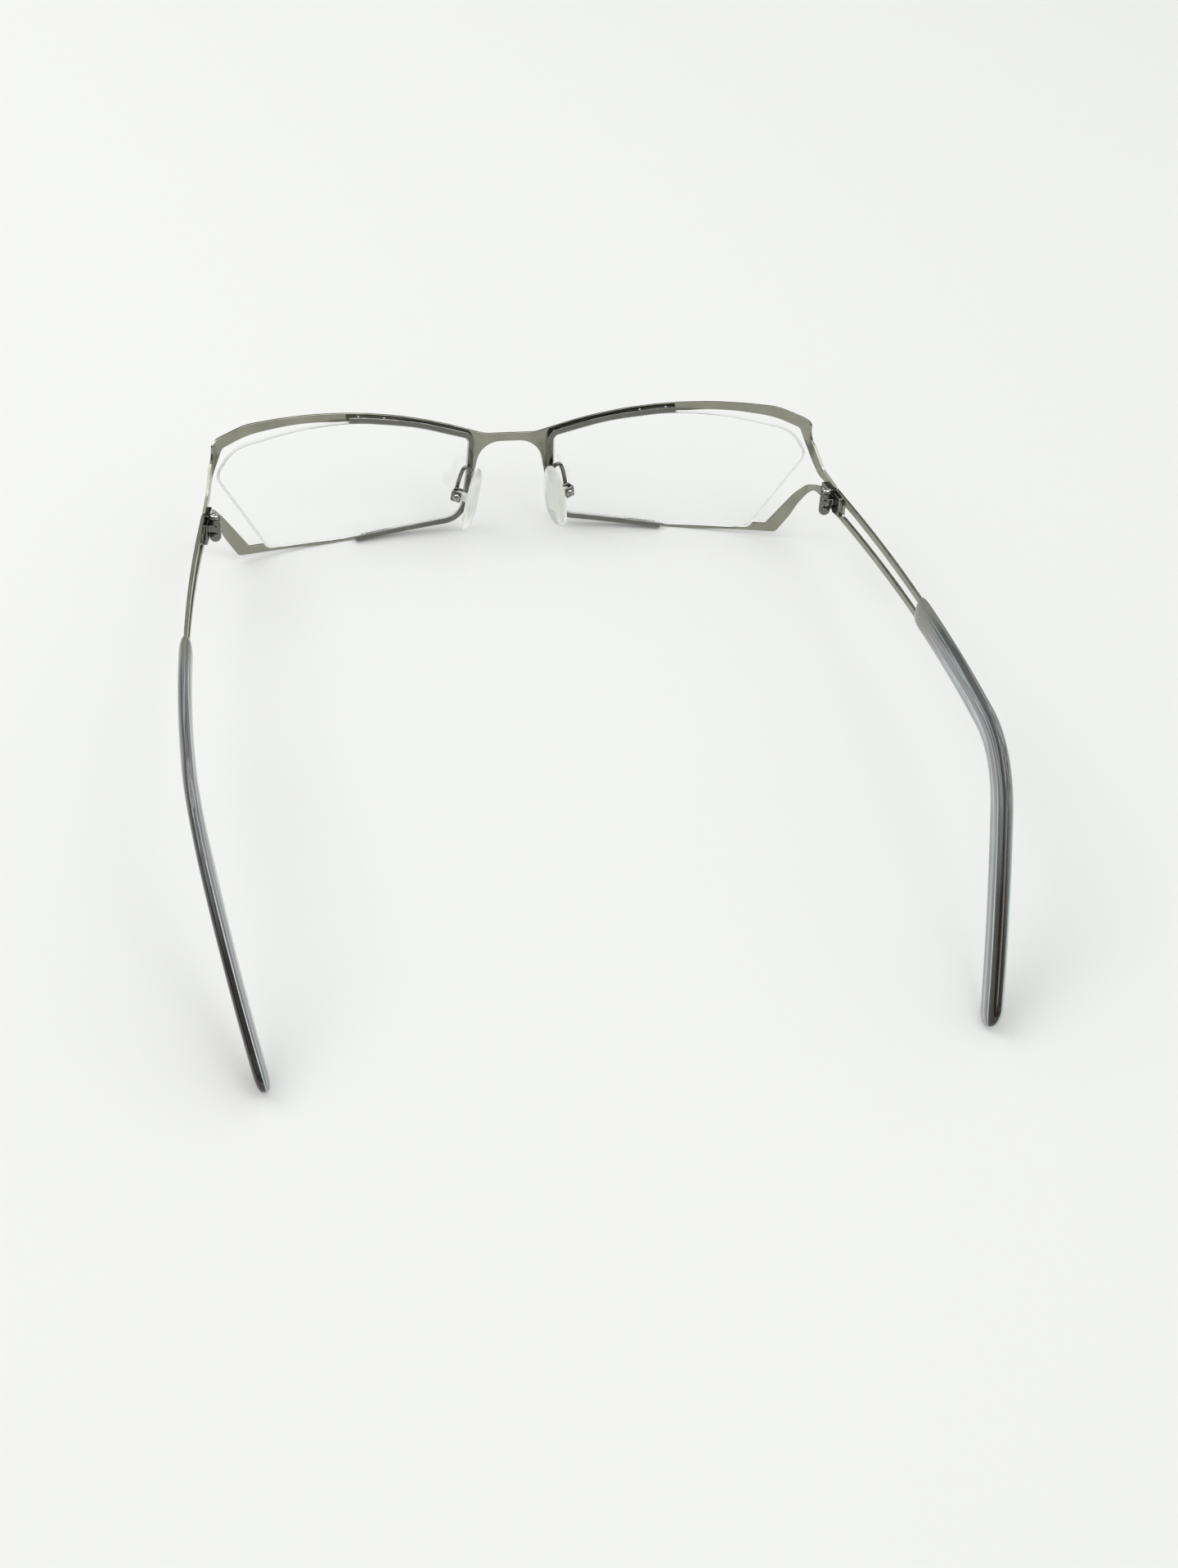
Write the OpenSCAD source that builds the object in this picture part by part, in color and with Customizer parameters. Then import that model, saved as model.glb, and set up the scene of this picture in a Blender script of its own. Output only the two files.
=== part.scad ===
// Half-rimmed rectangular eyeglasses with split temples and clear nose pads.
//
// Everything is drawn as worn: x to the wearer's left, y back towards the ears, z up, with the
// foremost point of the sheet's back face at x = y = 0. stand() then sets the finished glasses down
// on a table, on the lower rims and the two temple tips, which is how they lie at rest.

/* [Lenses] */
// Gap between the two lenses at the nose
lens_gap = 19; // [16:0.5:24]
// Width of one lens
lens_w = 54.2; // [48:0.2:58]
// Height of one lens
lens_h = 27.4; // [24:0.2:34]
// Thickness of a lens
lens_t = 1.2; // [0.8:0.1:1.6]
// Thickness of the nylon thread round each lens
thread_d = 0.5; // [0.4:0.05:0.6]

/* [Front sheet] */
// Thickness of the stamped sheet
sheet_t = 0.6; // [0.5:0.1:1.2]
// Radius of the front's wrap round the face
wrap_r = 218; // [180:1:300]
// Height of the brow bars
brow_h = 1.6; // [1.2:0.1:2.4]
// Height of the thin bottom bars
sill_h = 0.5; // [0.4:0.1:1.2]
// Height of the bridge at the middle
bridge_h = 1.9; // [1.4:0.1:3]
// Radius of the arch under the bridge
arch_r = 5.2; // [3:0.1:5.6]
// Width of the slanted lower arms
strut_w = 2.4; // [1.6:0.1:3]
// Height of an arm where it reaches the hinge
arm_h = 1.2; // [0.9:0.1:1.5]
// Inside radius of the bend from the front to the arms
bend_r = 4; // [3:0.5:6]
// Length of the arms, from the front of the bridge to the hinge pin
arm_l = 23.8; // [20:0.2:28]

/* [Half rims] */
// Height of the rim wire
rim_h = 1.2; // [1:0.1:1.6]
// Depth of the rim wire
rim_d = 1.4; // [1.2:0.1:2]
// Distance from the nose side of a lens to the upper end of its rim
rim_top_l = 26.3; // [22:0.5:32]
// Distance from the nose side of a lens to the lower end of its rim
rim_low_l = 24.9; // [20:0.5:30]
// Distance between the two thread holes at a rim end
hole_pitch = 5.5; // [4:0.1:7]
// Play of the thread in its holes
hole_play = 0.04; // [0.02:0.01:0.08]

/* [Hinges] */
// Diameter of the hinge barrel
barrel_d = 2.5; // [2:0.1:3]
// Height of one knuckle
knuckle_h = 1.45; // [1.2:0.05:1.8]
// Gap between two knuckles
knuckle_gap = 0.05; // [0.03:0.01:0.1]
// Diameter of the hinge screw's shank
screw_d = 1.2; // [0.9:0.1:1.4]
// Radial play of the turning knuckle on the screw
pin_play = 0.03; // [0.02:0.01:0.08]
// Diameter of the screw head
head_d = 2; // [1.6:0.1:2.2]
// Height of the screw head
head_h = 0.5; // [0.3:0.05:0.7]
// Width of the screwdriver slot
slot_w = 0.35; // [0.25:0.05:0.5]
// Thickness of the hinge leaves
leaf_t = 0.85; // [0.6:0.05:1.1]
// Length of the front leaf
front_leaf_l = 3; // [2:0.1:3.6]
// Length of the temple leaf
temple_leaf_l = 3; // [2.5:0.1:4]
// Gap between the front's end and the temple's end
joint_gap = 0.2; // [0.15:0.05:0.4]

/* [Temples] */
// Thickness of the temple's metal
temple_t = 0.75; // [0.7:0.05:1.1]
// Height of the temple at the hinge
temple_h = 5.5; // [4.6:0.1:6]
// Height of the temple at the sleeve
tang_h = 5; // [4:0.1:5]
// Height of each of the two bars
bar_h = 1.35; // [0.8:0.05:1.6]
// Outward splay of an open temple
splay = 10.5; // [4:0.5:14]
// Drop of the temple against the front
drop = 5.9; // [0:0.1:9]
// Radius of the temple's inward bow
bow_r = 409; // [280:1:1200]
// Radius of the inward bow behind the ear bend
tail_bow_r = 521; // [280:1:1200]
// Extra inward turn along the ear bend
ear_turn = 7.7; // [0:0.1:12]
// Length from the hinge pin to the ear bend
ear_l = 79.5; // [70:0.5:90]
// Radius of the ear bend
ear_r = 29.8; // [20:0.2:36]
// Angle of the ear bend
ear_a = 41; // [25:0.5:50]
// Length behind the ear bend
tail_l = 40.5; // [32:0.5:48]

/* [Temple tips] */
// Distance from the hinge pin to the front of the tip
tip_start = 42.8; // [38:0.2:48]
// Width of the tip
tip_w = 2.7; // [2.5:0.1:4]
// Height of the tip at its front
tip_h = 6.3; // [5.8:0.1:7]
// Height of the tip at its end
tip_end_h = 6.9; // [5:0.1:7.5]
// Roll of the tip behind the ear bend
tip_roll = 16; // [0:1:20]
// Length of the temple's tang inside the tip
tang_l = 5; // [3:0.5:8]
// Height of the core in the tip
core_h = 2; // [1.4:0.1:2.4]
// Distance from the core's end to the tip's end
core_stop = 7; // [4:0.5:14]
// Play between the metal and the tip
core_play = 0.04; // [0.02:0.01:0.08]

/* [Nose pads] */
// Height of a pad
pad_h = 15; // [12:0.5:16]
// Width of a pad
pad_w = 7.6; // [5.5:0.1:8]
// Thickness of a pad
pad_t = 2.5; // [2:0.1:2.8]
// Distance between the two pads' middles
pad_gap = 18.6; // [17.6:0.2:22]
// Distance of a pad's middle behind the front
pad_back = 6.6; // [6:0.1:8]
// Height of a pad's middle, from the datum line
pad_z = -2.6; // [-4:0.1:-1]
// Turn of a pad towards the nose
pad_turn = 25; // [15:1:35]
// Lean of a pad, its top towards the nose
pad_lean = 9.6; // [4:0.2:14]
// Distance from a pad's middle to its screw
pad_reach = 3.1; // [3:0.1:3.6]
// Diameter of the pad screw
pad_screw_d = 0.8; // [0.6:0.05:1]
// Diameter of the wire of a pad arm
wire_d = 0.9; // [0.8:0.05:1.1]

/* [Hidden] */

// Rendering of round shapes: true curves, points of an outline's arc, sides of a swept tube
$fn = 96;
wrap_fn = 720;
arc_miss = 0.008;
tube_sides = 10;

metal = [0.52, 0.51, 0.47];
clear = [0.93, 0.96, 0.96, 0.35];
nylon = [0.95, 0.96, 0.95];
silicone = [0.89, 0.91, 0.89];
smoke = [0.36, 0.38, 0.40, 0.8];

// Reach of the cutting shapes past what they cut
far = 200;
eps = 0.01;

// Vectors and paths

function unit(v) = v / norm(v);
function turned(v, a) = [v.x * cos(a) - v.y * sin(a), v.x * sin(a) + v.y * cos(a)];
function flip(v) = [-v.x, v.y];

// Corner a, v, b rounded with radius r
function corner(a, v, b, r) =
  let (
    d1 = unit(v - a),
    d2 = unit(b - v),
    turn = atan2(cross(d1, d2), d1 * d2),
    start = v - d1 * r * tan(abs(turn) / 2),
    middle = start + sign(turn) * r * [-d1.y, d1.x],
    n = ceil(abs(turn) / (2 * acos(1 - arc_miss / max(r, 2 * arc_miss))))
  )
  r < eps || abs(turn) < 0.1 ? [v] : [for (i = [0:n]) middle + turned(start - middle, turn * i / n)];

// Counter-clockwise outline through corners [x, z, radius], grown outwards by g
function outline(c, g = 0) =
  let (
    n = len(c),
    p = [for (q = c) [q.x, q.y]],
    out = [for (i = [0:n - 1]) let (d = unit(p[(i + 1) % n] - p[i])) [d.y, -d.x]],
    grown = [for (i = [0:n - 1])
      let (u = out[(i + n - 1) % n], w = out[i]) p[i] + g * (u + w) / (1 + u * w)],
    left = [for (i = [0:n - 1]) cross(p[i] - p[(i + n - 1) % n], p[(i + 1) % n] - p[i]) > 0 ? 1 : -1]
  )
  [for (i = [0:n - 1])
    each corner(grown[(i + n - 1) % n], grown[i], grown[(i + 1) % n],
      c[i].z < eps ? 0 : max(c[i].z + left[i] * g, 0.05))];

// Smooth curve through the points of a path, with n steps to each stretch
function spline(p, n) =
  let (m = len(p) - 1)
  [for (i = [0:m - 1])
    let (a = p[max(i - 1, 0)], b = p[i], c = p[i + 1], d = p[min(i + 2, m)])
    for (j = [0:(i == m - 1 ? n : n - 1)])
      let (t = j / n)
      0.5 * (2 * b + (c - a) * t + (2 * a - 5 * b + 4 * c - d) * t * t + (3 * b - a - 3 * c + d) * t * t * t)];

// Closed solid through rings of points, each counter-clockwise about the way they follow
module skin(rings) {
  n = len(rings[0]);
  m = len(rings);
  polyhedron(
    points = [for (r = rings) each r],
    faces = concat(
      [[for (j = [0:n - 1]) j]],
      [for (i = [0:m - 2]) for (j = [0:n - 1])
        [i * n + j, (i + 1) * n + j, (i + 1) * n + (j + 1) % n]],
      [for (i = [0:m - 2]) for (j = [0:n - 1])
        [i * n + j, (i + 1) * n + (j + 1) % n, i * n + (j + 1) % n]],
      [[for (j = [n - 1:-1:0]) (m - 1) * n + j]]
    ),
    convexity = 6
  );
}

// The lens shape and what follows it

nose_x = lens_gap / 2;
side_x = nose_x + lens_w;
top_z = 15.4;
low_z = top_z - lens_h;

// Edges of the sheet: brow, bridge, thin bottom bar, lower corner and slanted arm
brow_z = top_z + 2.2;
bridge_z = brow_z - 7.8;
sill_z = low_z - 1.45;
heel_z = low_z - 0.95;
heel_x = side_x - 3.55;
edge_x = side_x + 1.2;
strut_slope = 1.62;
strut_z = heel_z + strut_slope * (edge_x - heel_x) + strut_w * sqrt(1 + pow(strut_slope, 2));
shoulder_x = side_x + 1.25;
shoulder_z = brow_z - 5.4;

// Corners of the lens: [x, z, radius], from the nose along the bottom edge
lens_c = [
  [nose_x + 0.1, 1.5, 25],
  [nose_x + 1.4, low_z + 2.9, 4.5],
  [nose_x + 28, low_z - 0.1, 60],
  [side_x - 9.8, low_z + 0.3, 1.8],
  [side_x + 1, 7.2, 3.2],
  [side_x - 2.9, top_z - 2.5, 7],
  [side_x - 17.5, top_z - 0.2, 60],
  [nose_x + 25.5, top_z + 0.1, 50],
  [nose_x + 11.5, top_z - 2.3, 60],
  [nose_x - 0.2, top_z - 5.9, 1.5]
];

// Opening of the sheet: just outside the lens at the nose, wide of it towards the side
open_c = [
  [nose_x - 0.2, 1.5, 25],
  [nose_x + 1.1, low_z + 2.6, 4.8],
  [nose_x + rim_low_l - 1, low_z - 0.1, 1],
  [nose_x + rim_low_l + 1.5, sill_z + sill_h, 3],
  [side_x - 12.5, sill_z + sill_h + 0.1, 6],
  [side_x - 9.2, heel_z + 1.75, 1],
  [side_x - 5.95, heel_z + 1.85, 0.3],
  [edge_x, strut_z, 0],
  [edge_x, brow_z - 9.65, 0],
  [side_x - 0.75, brow_z - brow_h - 3.1, 1],
  [side_x - 6.2, brow_z - brow_h - 0.95, 20],
  [side_x - 17.7, brow_z - brow_h + 0.15, 60],
  [nose_x + 11.5, top_z - 2, 60],
  [nose_x - 0.5, top_z - 5.6, 1.7]
];

// Plan of the sheet: the wrap, the bend and the straight arm
bend_x = side_x - 0.9;
bend_a = asin(bend_x / wrap_r);
lap_a = 0.02;
bend_mid = [(wrap_r - bend_r) * sin(bend_a), wrap_r - (wrap_r - bend_r) * cos(bend_a)];
arm_out = [cos(splay), -sin(splay)];
arm_dir = [sin(splay), cos(splay)];
bend_end = bend_mid + bend_r * arm_out;

// The hinge pin stands inside the arm; its own frame has +y along the temple and +x outwards
barrel_r = barrel_d / 2;
skin_x = barrel_r + 0.65;
pin_y = arm_l;
pin = [bend_end.x + tan(splay) * (pin_y - bend_end.y) - skin_x / cos(splay), pin_y];
pin_z = 2.3;
split_y = 0.3;
arm_run = (pin_y - skin_x * sin(splay) - bend_end.y) / cos(splay) + split_y - joint_gap / 2;
stack_h = 3 * knuckle_h + 2 * knuckle_gap;
stack_z = pin_z - stack_h / 2;
temple_y = split_y + joint_gap / 2;

// Outer edge of the sheet, from the bridge down round the nose, and out to the side
sheet_c = [
  [-2, bridge_z - bridge_h, 0],
  [6.35, bridge_z - bridge_h, arch_r],
  [10.1, low_z + 1.35, 5],
  [nose_x + 30.5, sill_z, 80],
  [heel_x, heel_z, 1.2],
  [side_x - 0.7, heel_z + strut_slope * (side_x - 0.7 - heel_x), 6],
  [edge_x + 0.3, heel_z + strut_slope * (edge_x + 0.3 - heel_x) + 2.1, 1],
  [edge_x + 1.3, heel_z + strut_slope * (edge_x + 1.3 - heel_x) + 1.75, 0],
  [edge_x + 1.3, shoulder_z - 2.35, 0],
  [shoulder_x + 0.55, shoulder_z - 1.4, 1],
  [shoulder_x, shoulder_z + 0.2, 1],
  [shoulder_x, brow_z - 2.75, 1.3],
  [side_x - 5.7, brow_z - 0.25, 12],
  [nose_x + 22, brow_z + 0.9, 118],
  [5.6, bridge_z, 7],
  [-2, bridge_z, 0]
];

// Side view of the arms, [y, z, radius], from the lower bend to the hinge and back along the top
arm_end = arm_l;
tab_y = arm_end - 4.9;
tab_z = [pin_z - temple_h / 2, pin_z + temple_h / 2];
bend_y = bend_end.y;
arms_c = [
  [bend_y - 4.2, -12, 0],
  [bend_y - 3.1, -8.5, 0],
  [bend_y - 1.1, tab_z[0] - 1.85, 3],
  [bend_y + 2.2, tab_z[0] + 0.85, 5],
  [tab_y - 1, tab_z[0] + 0.8, 0.8],
  [tab_y - 0.2, tab_z[0], 0.4],
  [arm_end + 1, tab_z[0], 0],
  [arm_end + 1, tab_z[1], 0],
  [tab_y - 1.5, tab_z[1] + 1.45, 4],
  [bend_y - 1.3, 10.7, 1.2],
  [bend_y - 1.45, 12.5, 0],
  [bend_y - 1.45, 19, 0],
  [bend_y - 4.2, 19, 0]
];
window_c = [
  [bend_y - 4.2, -5.5, 0],
  [bend_y - 3, -1.9, 0],
  [bend_y - 1.05, tab_z[0] + 0.45, 3],
  [bend_y + 2.1, tab_z[0] + arm_h + 0.75, 5],
  [bend_y + 4.3, tab_z[0] + arm_h + 1.5, 4],
  [tab_y, tab_z[0] + arm_h + 1.65, 0.4],
  [tab_y, tab_z[1] - arm_h + 0.4, 0.4],
  [tab_y - 3.2, tab_z[1] - arm_h + 0.65, 5],
  [bend_y - 0.75, 6.6, 3],
  [bend_y - 1.75, 8.2, 0],
  [bend_y - 4.2, 8.2, 0]
];

// The temple's centre line from the hinge pin: [along, inwards, down], and its directions
bow_start = 5.5;
ear_len = ear_r * ear_a * PI / 180;
temple_l = ear_l + ear_len + tail_l;

function heading(s) = 180 / PI * (max(min(s, ear_l + ear_len) - bow_start, 0) / bow_r
    + max(s - ear_l - ear_len, 0) / tail_bow_r)
  + ear_turn * min(max(s - ear_l, 0), ear_len) / ear_len;
function dip(s) = ear_a * min(max(s - ear_l, 0), ear_len) / ear_len;
function along(s) = [cos(dip(s)) * cos(heading(s)), cos(dip(s)) * sin(heading(s)), sin(dip(s))];
function level(s) = [-sin(heading(s)), cos(heading(s)), 0];
function inward(s) =
  let (r = -tip_roll * min(max(s - ear_l, 0), ear_len) / ear_len)
  level(s) * cos(r) + cross(along(s), level(s)) * sin(r);

path_step = 0.5;
path = [for (s = 0, p = [0, 0, 0]; s < temple_l + path_step; p = p + path_step * along(s + path_step / 2),
  s = s + path_step) p];
function at(s) =
  let (k = min(floor(s / path_step), len(path) - 2), f = s / path_step - k)
  path[k] * (1 - f) + path[k + 1] * f;

// Ring round the centre line at s: half width w, half height h, squareness q; x is outwards here
function ring(s, w, h, n, q = 1) =
  let (o = at(s), i = inward(s), u = cross(along(s), i))
  [for (j = [0:n - 1])
    let (
      a = 360 * (j + 0.5) / n,
      c = sign(cos(a)) * pow(abs(cos(a)), q) * w,
      e = sign(sin(a)) * pow(abs(sin(a)), q) * h,
      v = o + i * c - u * e
    )
    [-v.y, v.x, -v.z]];

// Setting the glasses down: the lowest points of the front and of a tip touch the table
tip_s = temple_l - tip_end_h / 2;
function temple_point(v) =
  let (
    y = v.y * cos(drop) + v.z * sin(drop),
    z = v.z * cos(drop) - v.y * sin(drop)
  )
  [pin.x + (skin_x + temple_t / 2 + v.x) * arm_out.x + y * arm_dir.x,
   pin.y + (skin_x + temple_t / 2 + v.x) * arm_out.y + y * arm_dir.y,
   pin_z + z];
tip_dirs = along(temple_l);
tip_pts = [for (k = [0:12])
  let (
    a = -90 + 180 * k / 12,
    o = at(tip_s),
    u = cross(along(tip_s), inward(tip_s)),
    v = o + tip_dirs * cos(a) * tip_end_h / 2 - u * sin(a) * tip_end_h / 2
  )
  temple_point([-v.y, v.x, -v.z])];
function front_y(x) = wrap_r - sqrt(pow(wrap_r + sheet_t, 2) - x * x);
front_pts = [for (p = outline(sheet_c)) if (p.x > 0 && p.x < bend_x) [p.x, front_y(p.x), p.y]];

function rested(p, a) = [p.x, p.y * cos(a) - p.z * sin(a), p.y * sin(a) + p.z * cos(a)];
function lowest(pts, a) =
  let (z = [for (p = pts) rested(p, a).z], k = search(min(z), z)[0])
  pts[k];
function tilt(a, n) =
  let (f = lowest(front_pts, a), t = lowest(tip_pts, a), b = atan2(f.z - t.z, t.y - f.y))
  n == 0 ? b : tilt(b, n - 1);
rest_a = tilt(12, 4);
rest_z = min([for (p = concat(front_pts, tip_pts)) rested(p, rest_a).z]);
rest_y = (min([for (p = front_pts) rested(p, rest_a).y]) + max([for (p = tip_pts) rested(p, rest_a).y])) / 2;

module stand() {
  translate([0, -rest_y, -rest_z]) rotate([rest_a, 0, 0]) children();
}

// The left piece as drawn, or its mirror image on the right
module side(s) {
  if (s > 0) children();
  else mirror([1, 0, 0]) children();
}

// Solid whose front view is the 2D shape, z up
module front_view() {
  rotate([90, 0, 0]) linear_extrude(height = far, center = true) children();
}

// Curved layer behind the sheet, from depth a to depth b, on the wearer's left
module layer(a, b) {
  translate([0, wrap_r, 0])
    linear_extrude(height = far, center = true)
      intersection() {
        difference() {
          circle(r = wrap_r - a, $fn = wrap_fn);
          circle(r = wrap_r - b, $fn = wrap_fn);
        }
        translate([0, -wrap_r]) square([far / 2, wrap_r]);
      }
}

// Band along the lens edge, from a to b outside it
module band(a, b) {
  difference() {
    polygon(outline(lens_c, b));
    polygon(outline(lens_c, a));
  }
}

// Half planes that end the rim, l from the nose side: upper and lower
module within(top_l, low_l) {
  translate([0, top_z - lens_h / 2]) square([nose_x + top_l, far]);
  translate([0, top_z - lens_h / 2 - far]) square([nose_x + low_l, far]);
}

groove_w = thread_d + 0.05;
groove_d = thread_d / 2 + 0.02;
lens_back = (rim_d - lens_t) / 2;
thread_back = rim_d / 2;

// Height and direction of the lens edge at x, on its upper side (up = 1) or its lower side (up = -1)
lens_edge = outline(lens_c);
function edge_at(x, up) =
  let (
    n = len(lens_edge),
    hits = [for (i = [0:n - 1])
      let (a = lens_edge[i], b = lens_edge[(i + 1) % n])
      if ((a.x - x) * (b.x - x) <= 0 && abs(a.x - b.x) > eps)
        [a.y + (b.y - a.y) * (x - a.x) / (b.x - a.x), atan((b.y - a.y) / (b.x - a.x))]],
    z = [for (h = hits) h[0] * up]
  )
  hits[search(max(z), z)[0]];

// Centres of the thread holes and the direction of each, out of the rim
rim_end_in = 2;
holes = [for (k = [0, 1]) each [
  let (x = nose_x + rim_top_l - rim_end_in - k * hole_pitch, e = edge_at(x, 1)) [x, e[0], e[1]],
  let (x = nose_x + rim_low_l - rim_end_in - k * hole_pitch, e = edge_at(x, -1)) [x, e[0], e[1] + 180]
]];

module thread_pegs(d, l) {
  for (h = holes)
    translate([h.x, wrap_r - sqrt(pow(wrap_r - thread_back, 2) - h.x * h.x), h.y])
      rotate([0, -h.z, 0]) translate([0, 0, -0.1]) cylinder(d = d, h = l + 0.1, $fn = 24);
}

// Front sheet

module sheet_plan() {
  translate([0, wrap_r])
    intersection() {
      difference() {
        circle(r = wrap_r + sheet_t, $fn = wrap_fn);
        circle(r = wrap_r, $fn = wrap_fn);
      }
      polygon([[0, 0], far * 2 * [-sin(bend_a + lap_a), -cos(bend_a + lap_a)], far * 2 * [0, -1.5],
        far * 2 * [sin(bend_a + lap_a), -cos(bend_a + lap_a)]]);
    }
  for (m = [0, 1]) mirror([m, 0]) {
    intersection() {
      translate(bend_mid)
        difference() {
          circle(r = bend_r + sheet_t);
          circle(r = bend_r);
        }
      polygon([bend_mid, bend_mid + far * [sin(bend_a), -cos(bend_a)], bend_mid + far * [1, -1],
        bend_mid + far * arm_out]);
    }
    translate(bend_end) rotate(-splay) square([sheet_t, arm_run]);
  }
}

module sheet_front() {
  for (m = [0, 1]) mirror([m, 0]) {
    difference() {
      polygon(outline(sheet_c));
      polygon(outline(open_c));
    }
    translate([edge_x + 1.3, -far]) square([far, far + shoulder_z - 2.35]);
  }
}

module sheet_side() {
  difference() {
    polygon(outline(arms_c));
    polygon(outline(window_c));
  }
  translate([-far, -far / 2]) square([far + bend_y - 3.1, far]);
}

module front_plate() {
  color(metal) stand() intersection() {
    linear_extrude(height = far, center = true) sheet_plan();
    front_view() sheet_front();
    rotate([90, 0, 90]) linear_extrude(height = far, center = true) sheet_side();
  }
}

// Half rims, threads and lenses

module half_rim(s) {
  color(metal) stand() side(s) difference() {
    intersection() {
      layer(0, rim_d);
      front_view() intersection() {
        band(0, rim_h);
        within(rim_top_l, rim_low_l);
      }
    }
    intersection() {
      layer(thread_back - groove_w / 2, thread_back + groove_w / 2);
      front_view() band(-groove_d, groove_d);
    }
    thread_pegs(thread_d - 0.1 + 2 * hole_play, rim_h + 1);
  }
}

module thread(top_l, low_l, nose_side) {
  intersection() {
    layer(thread_back - thread_d / 2, thread_back + thread_d / 2);
    front_view() difference() {
      band(-thread_d / 2, thread_d / 2);
      if (nose_side) difference() {
        translate([0, -far / 2]) square([far, far]);
        within(top_l, low_l);
      }
      else within(top_l, low_l);
    }
  }
}

inner_top_l = rim_top_l - rim_end_in - hole_pitch;
inner_low_l = rim_low_l - rim_end_in - hole_pitch;

module rim_liner(s) {
  color(nylon) stand() side(s)
    thread(inner_top_l - thread_d, inner_low_l - thread_d, true);
}

module lens_cord(s) {
  color(nylon) stand() side(s) {
    thread(inner_top_l - 0.1, inner_low_l - 0.1, false);
    thread_pegs(thread_d - 0.1, rim_h + 0.05);
  }
}

module lens(s) {
  color(clear) stand() side(s) difference() {
    intersection() {
      layer(lens_back, lens_back + lens_t);
      front_view() polygon(outline(lens_c));
    }
    intersection() {
      layer(thread_back - groove_w / 2, thread_back + groove_w / 2);
      front_view() band(-groove_d, groove_d);
    }
  }
}

// Hinges, drawn in the frame of their pin

module at_pin() {
  translate([pin.x, pin.y, 0]) rotate([0, 0, -splay]) children();
}

module knuckle(k, bore) {
  translate([0, 0, stack_z + k * (knuckle_h + knuckle_gap)])
    difference() {
      union() {
        cylinder(r = barrel_r, h = knuckle_h);
        children();
      }
      translate([0, 0, -eps]) cylinder(d = bore, h = knuckle_h + 2 * eps);
    }
}

leaf_x = skin_x - leaf_t;
leaf_y = barrel_r + 0.1;

module hinge_front_leaf(s) {
  color(metal) stand() side(s) at_pin() {
    translate([leaf_x, -leaf_y - front_leaf_l, stack_z]) cube([leaf_t, front_leaf_l, stack_h]);
    for (k = [0, 2])
      knuckle(k, screw_d)
        translate([0, -leaf_y - eps, 0]) cube([skin_x, leaf_y + eps, knuckle_h]);
    translate([0, 0, stack_z]) difference() {
      sphere(r = barrel_r);
      translate([-far / 2, -far / 2, 0]) cube(far);
    }
  }
}

module hinge_screw(s) {
  color(metal) stand() side(s) at_pin()
    difference() {
      union() {
        translate([0, 0, stack_z]) cylinder(d = screw_d, h = stack_h + eps);
        translate([0, 0, stack_z + stack_h]) cylinder(d = head_d, h = head_h);
      }
      translate([-head_d, -slot_w / 2, stack_z + stack_h + head_h / 2]) cube([2 * head_d, slot_w, head_h]);
    }
}

module hinge_temple_leaf(s) {
  color(metal) stand() side(s) at_pin() {
    translate([leaf_x, leaf_y, stack_z + knuckle_gap])
      cube([leaf_t, temple_leaf_l, stack_h - 2 * knuckle_gap]);
    knuckle(1, screw_d + 2 * pin_play)
      translate([0, temple_y, 0]) cube([skin_x, leaf_y + eps - temple_y, knuckle_h]);
  }
}

// Temples: +y along the metal, +x outwards, z = 0 on the centre line

module at_temple() {
  at_pin() translate([skin_x + temple_t / 2, 0, pin_z]) rotate([-drop, 0, 0]) children();
}

tang_end = tip_start + tang_l;

module temple_plan(play) {
  w = temple_t / 2 + play;
  end_a = heading(tang_end + play);
  translate([-w, -bow_start]) square([2 * w, 2 * bow_start]);
  intersection() {
    translate([-bow_r, bow_start]) difference() {
      circle(r = bow_r + w, $fn = wrap_fn);
      circle(r = bow_r - w, $fn = wrap_fn);
    }
    translate([-bow_r, bow_start])
      polygon([[0, 0], 2 * bow_r * [1, -eps / bow_r], 2 * bow_r * [cos(end_a), sin(end_a)]]);
  }
}

function half_h(y) = (temple_h + (tang_h - temple_h) * max(min(y / tip_start, 1), 0)) / 2;
slot_y = [temple_leaf_l + leaf_y + 0.2, tip_start + 1];

module temple(s) {
  color(metal) stand() side(s) intersection() {
    at_temple() temple_bars();
    at_pin() translate([-far / 2, temple_y, -far / 2]) cube(far);
  }
}

module temple_bars() {
  intersection() {
    linear_extrude(height = far, center = true) temple_plan(0);
    rotate([90, 0, 90]) linear_extrude(height = far, center = true) difference() {
      polygon([
        [-bow_start, -half_h(0)], [tip_start, -half_h(tip_start)], [far, -half_h(tip_start)],
        [far, half_h(tip_start)], [tip_start, half_h(tip_start)], [-bow_start, half_h(0)]
      ]);
      polygon(outline([
        [slot_y[0], bar_h - half_h(slot_y[0]), 0.6], [slot_y[1], bar_h - half_h(tip_start), 0.3],
        [slot_y[1], half_h(tip_start) - bar_h, 0.3], [slot_y[0], half_h(slot_y[0]) - bar_h, 0.6]
      ]));
    }
  }
}

core_end = temple_l - core_stop;
core_steps = 26;

module core_shape(play) {
  start = tang_end - 2 * play;
  skin([for (k = [0:core_steps])
    let (f = k / core_steps)
    ring(start + f * (core_end + play - start), (temple_t / 2 + play) * sqrt(2) * (1 - 0.2 * f),
      (core_h / 2 + play) * sqrt(2) * (1 - 0.25 * f), 4)]);
}

module temple_core(s) {
  color(metal) stand() side(s) at_temple() core_shape(0);
}

tip_sides = 16;
tip_steps = 30;
nose_steps = 4;

// Half height of the tip at distance s from the hinge pin
function tip_half(s) = (tip_h + (tip_end_h - tip_h) * (s - tip_start) / (temple_l - tip_start)) / 2;
function tip_ring(s, f) = ring(s, tip_w / 2 * f, tip_half(s) * f, tip_sides, 0.8);

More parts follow.
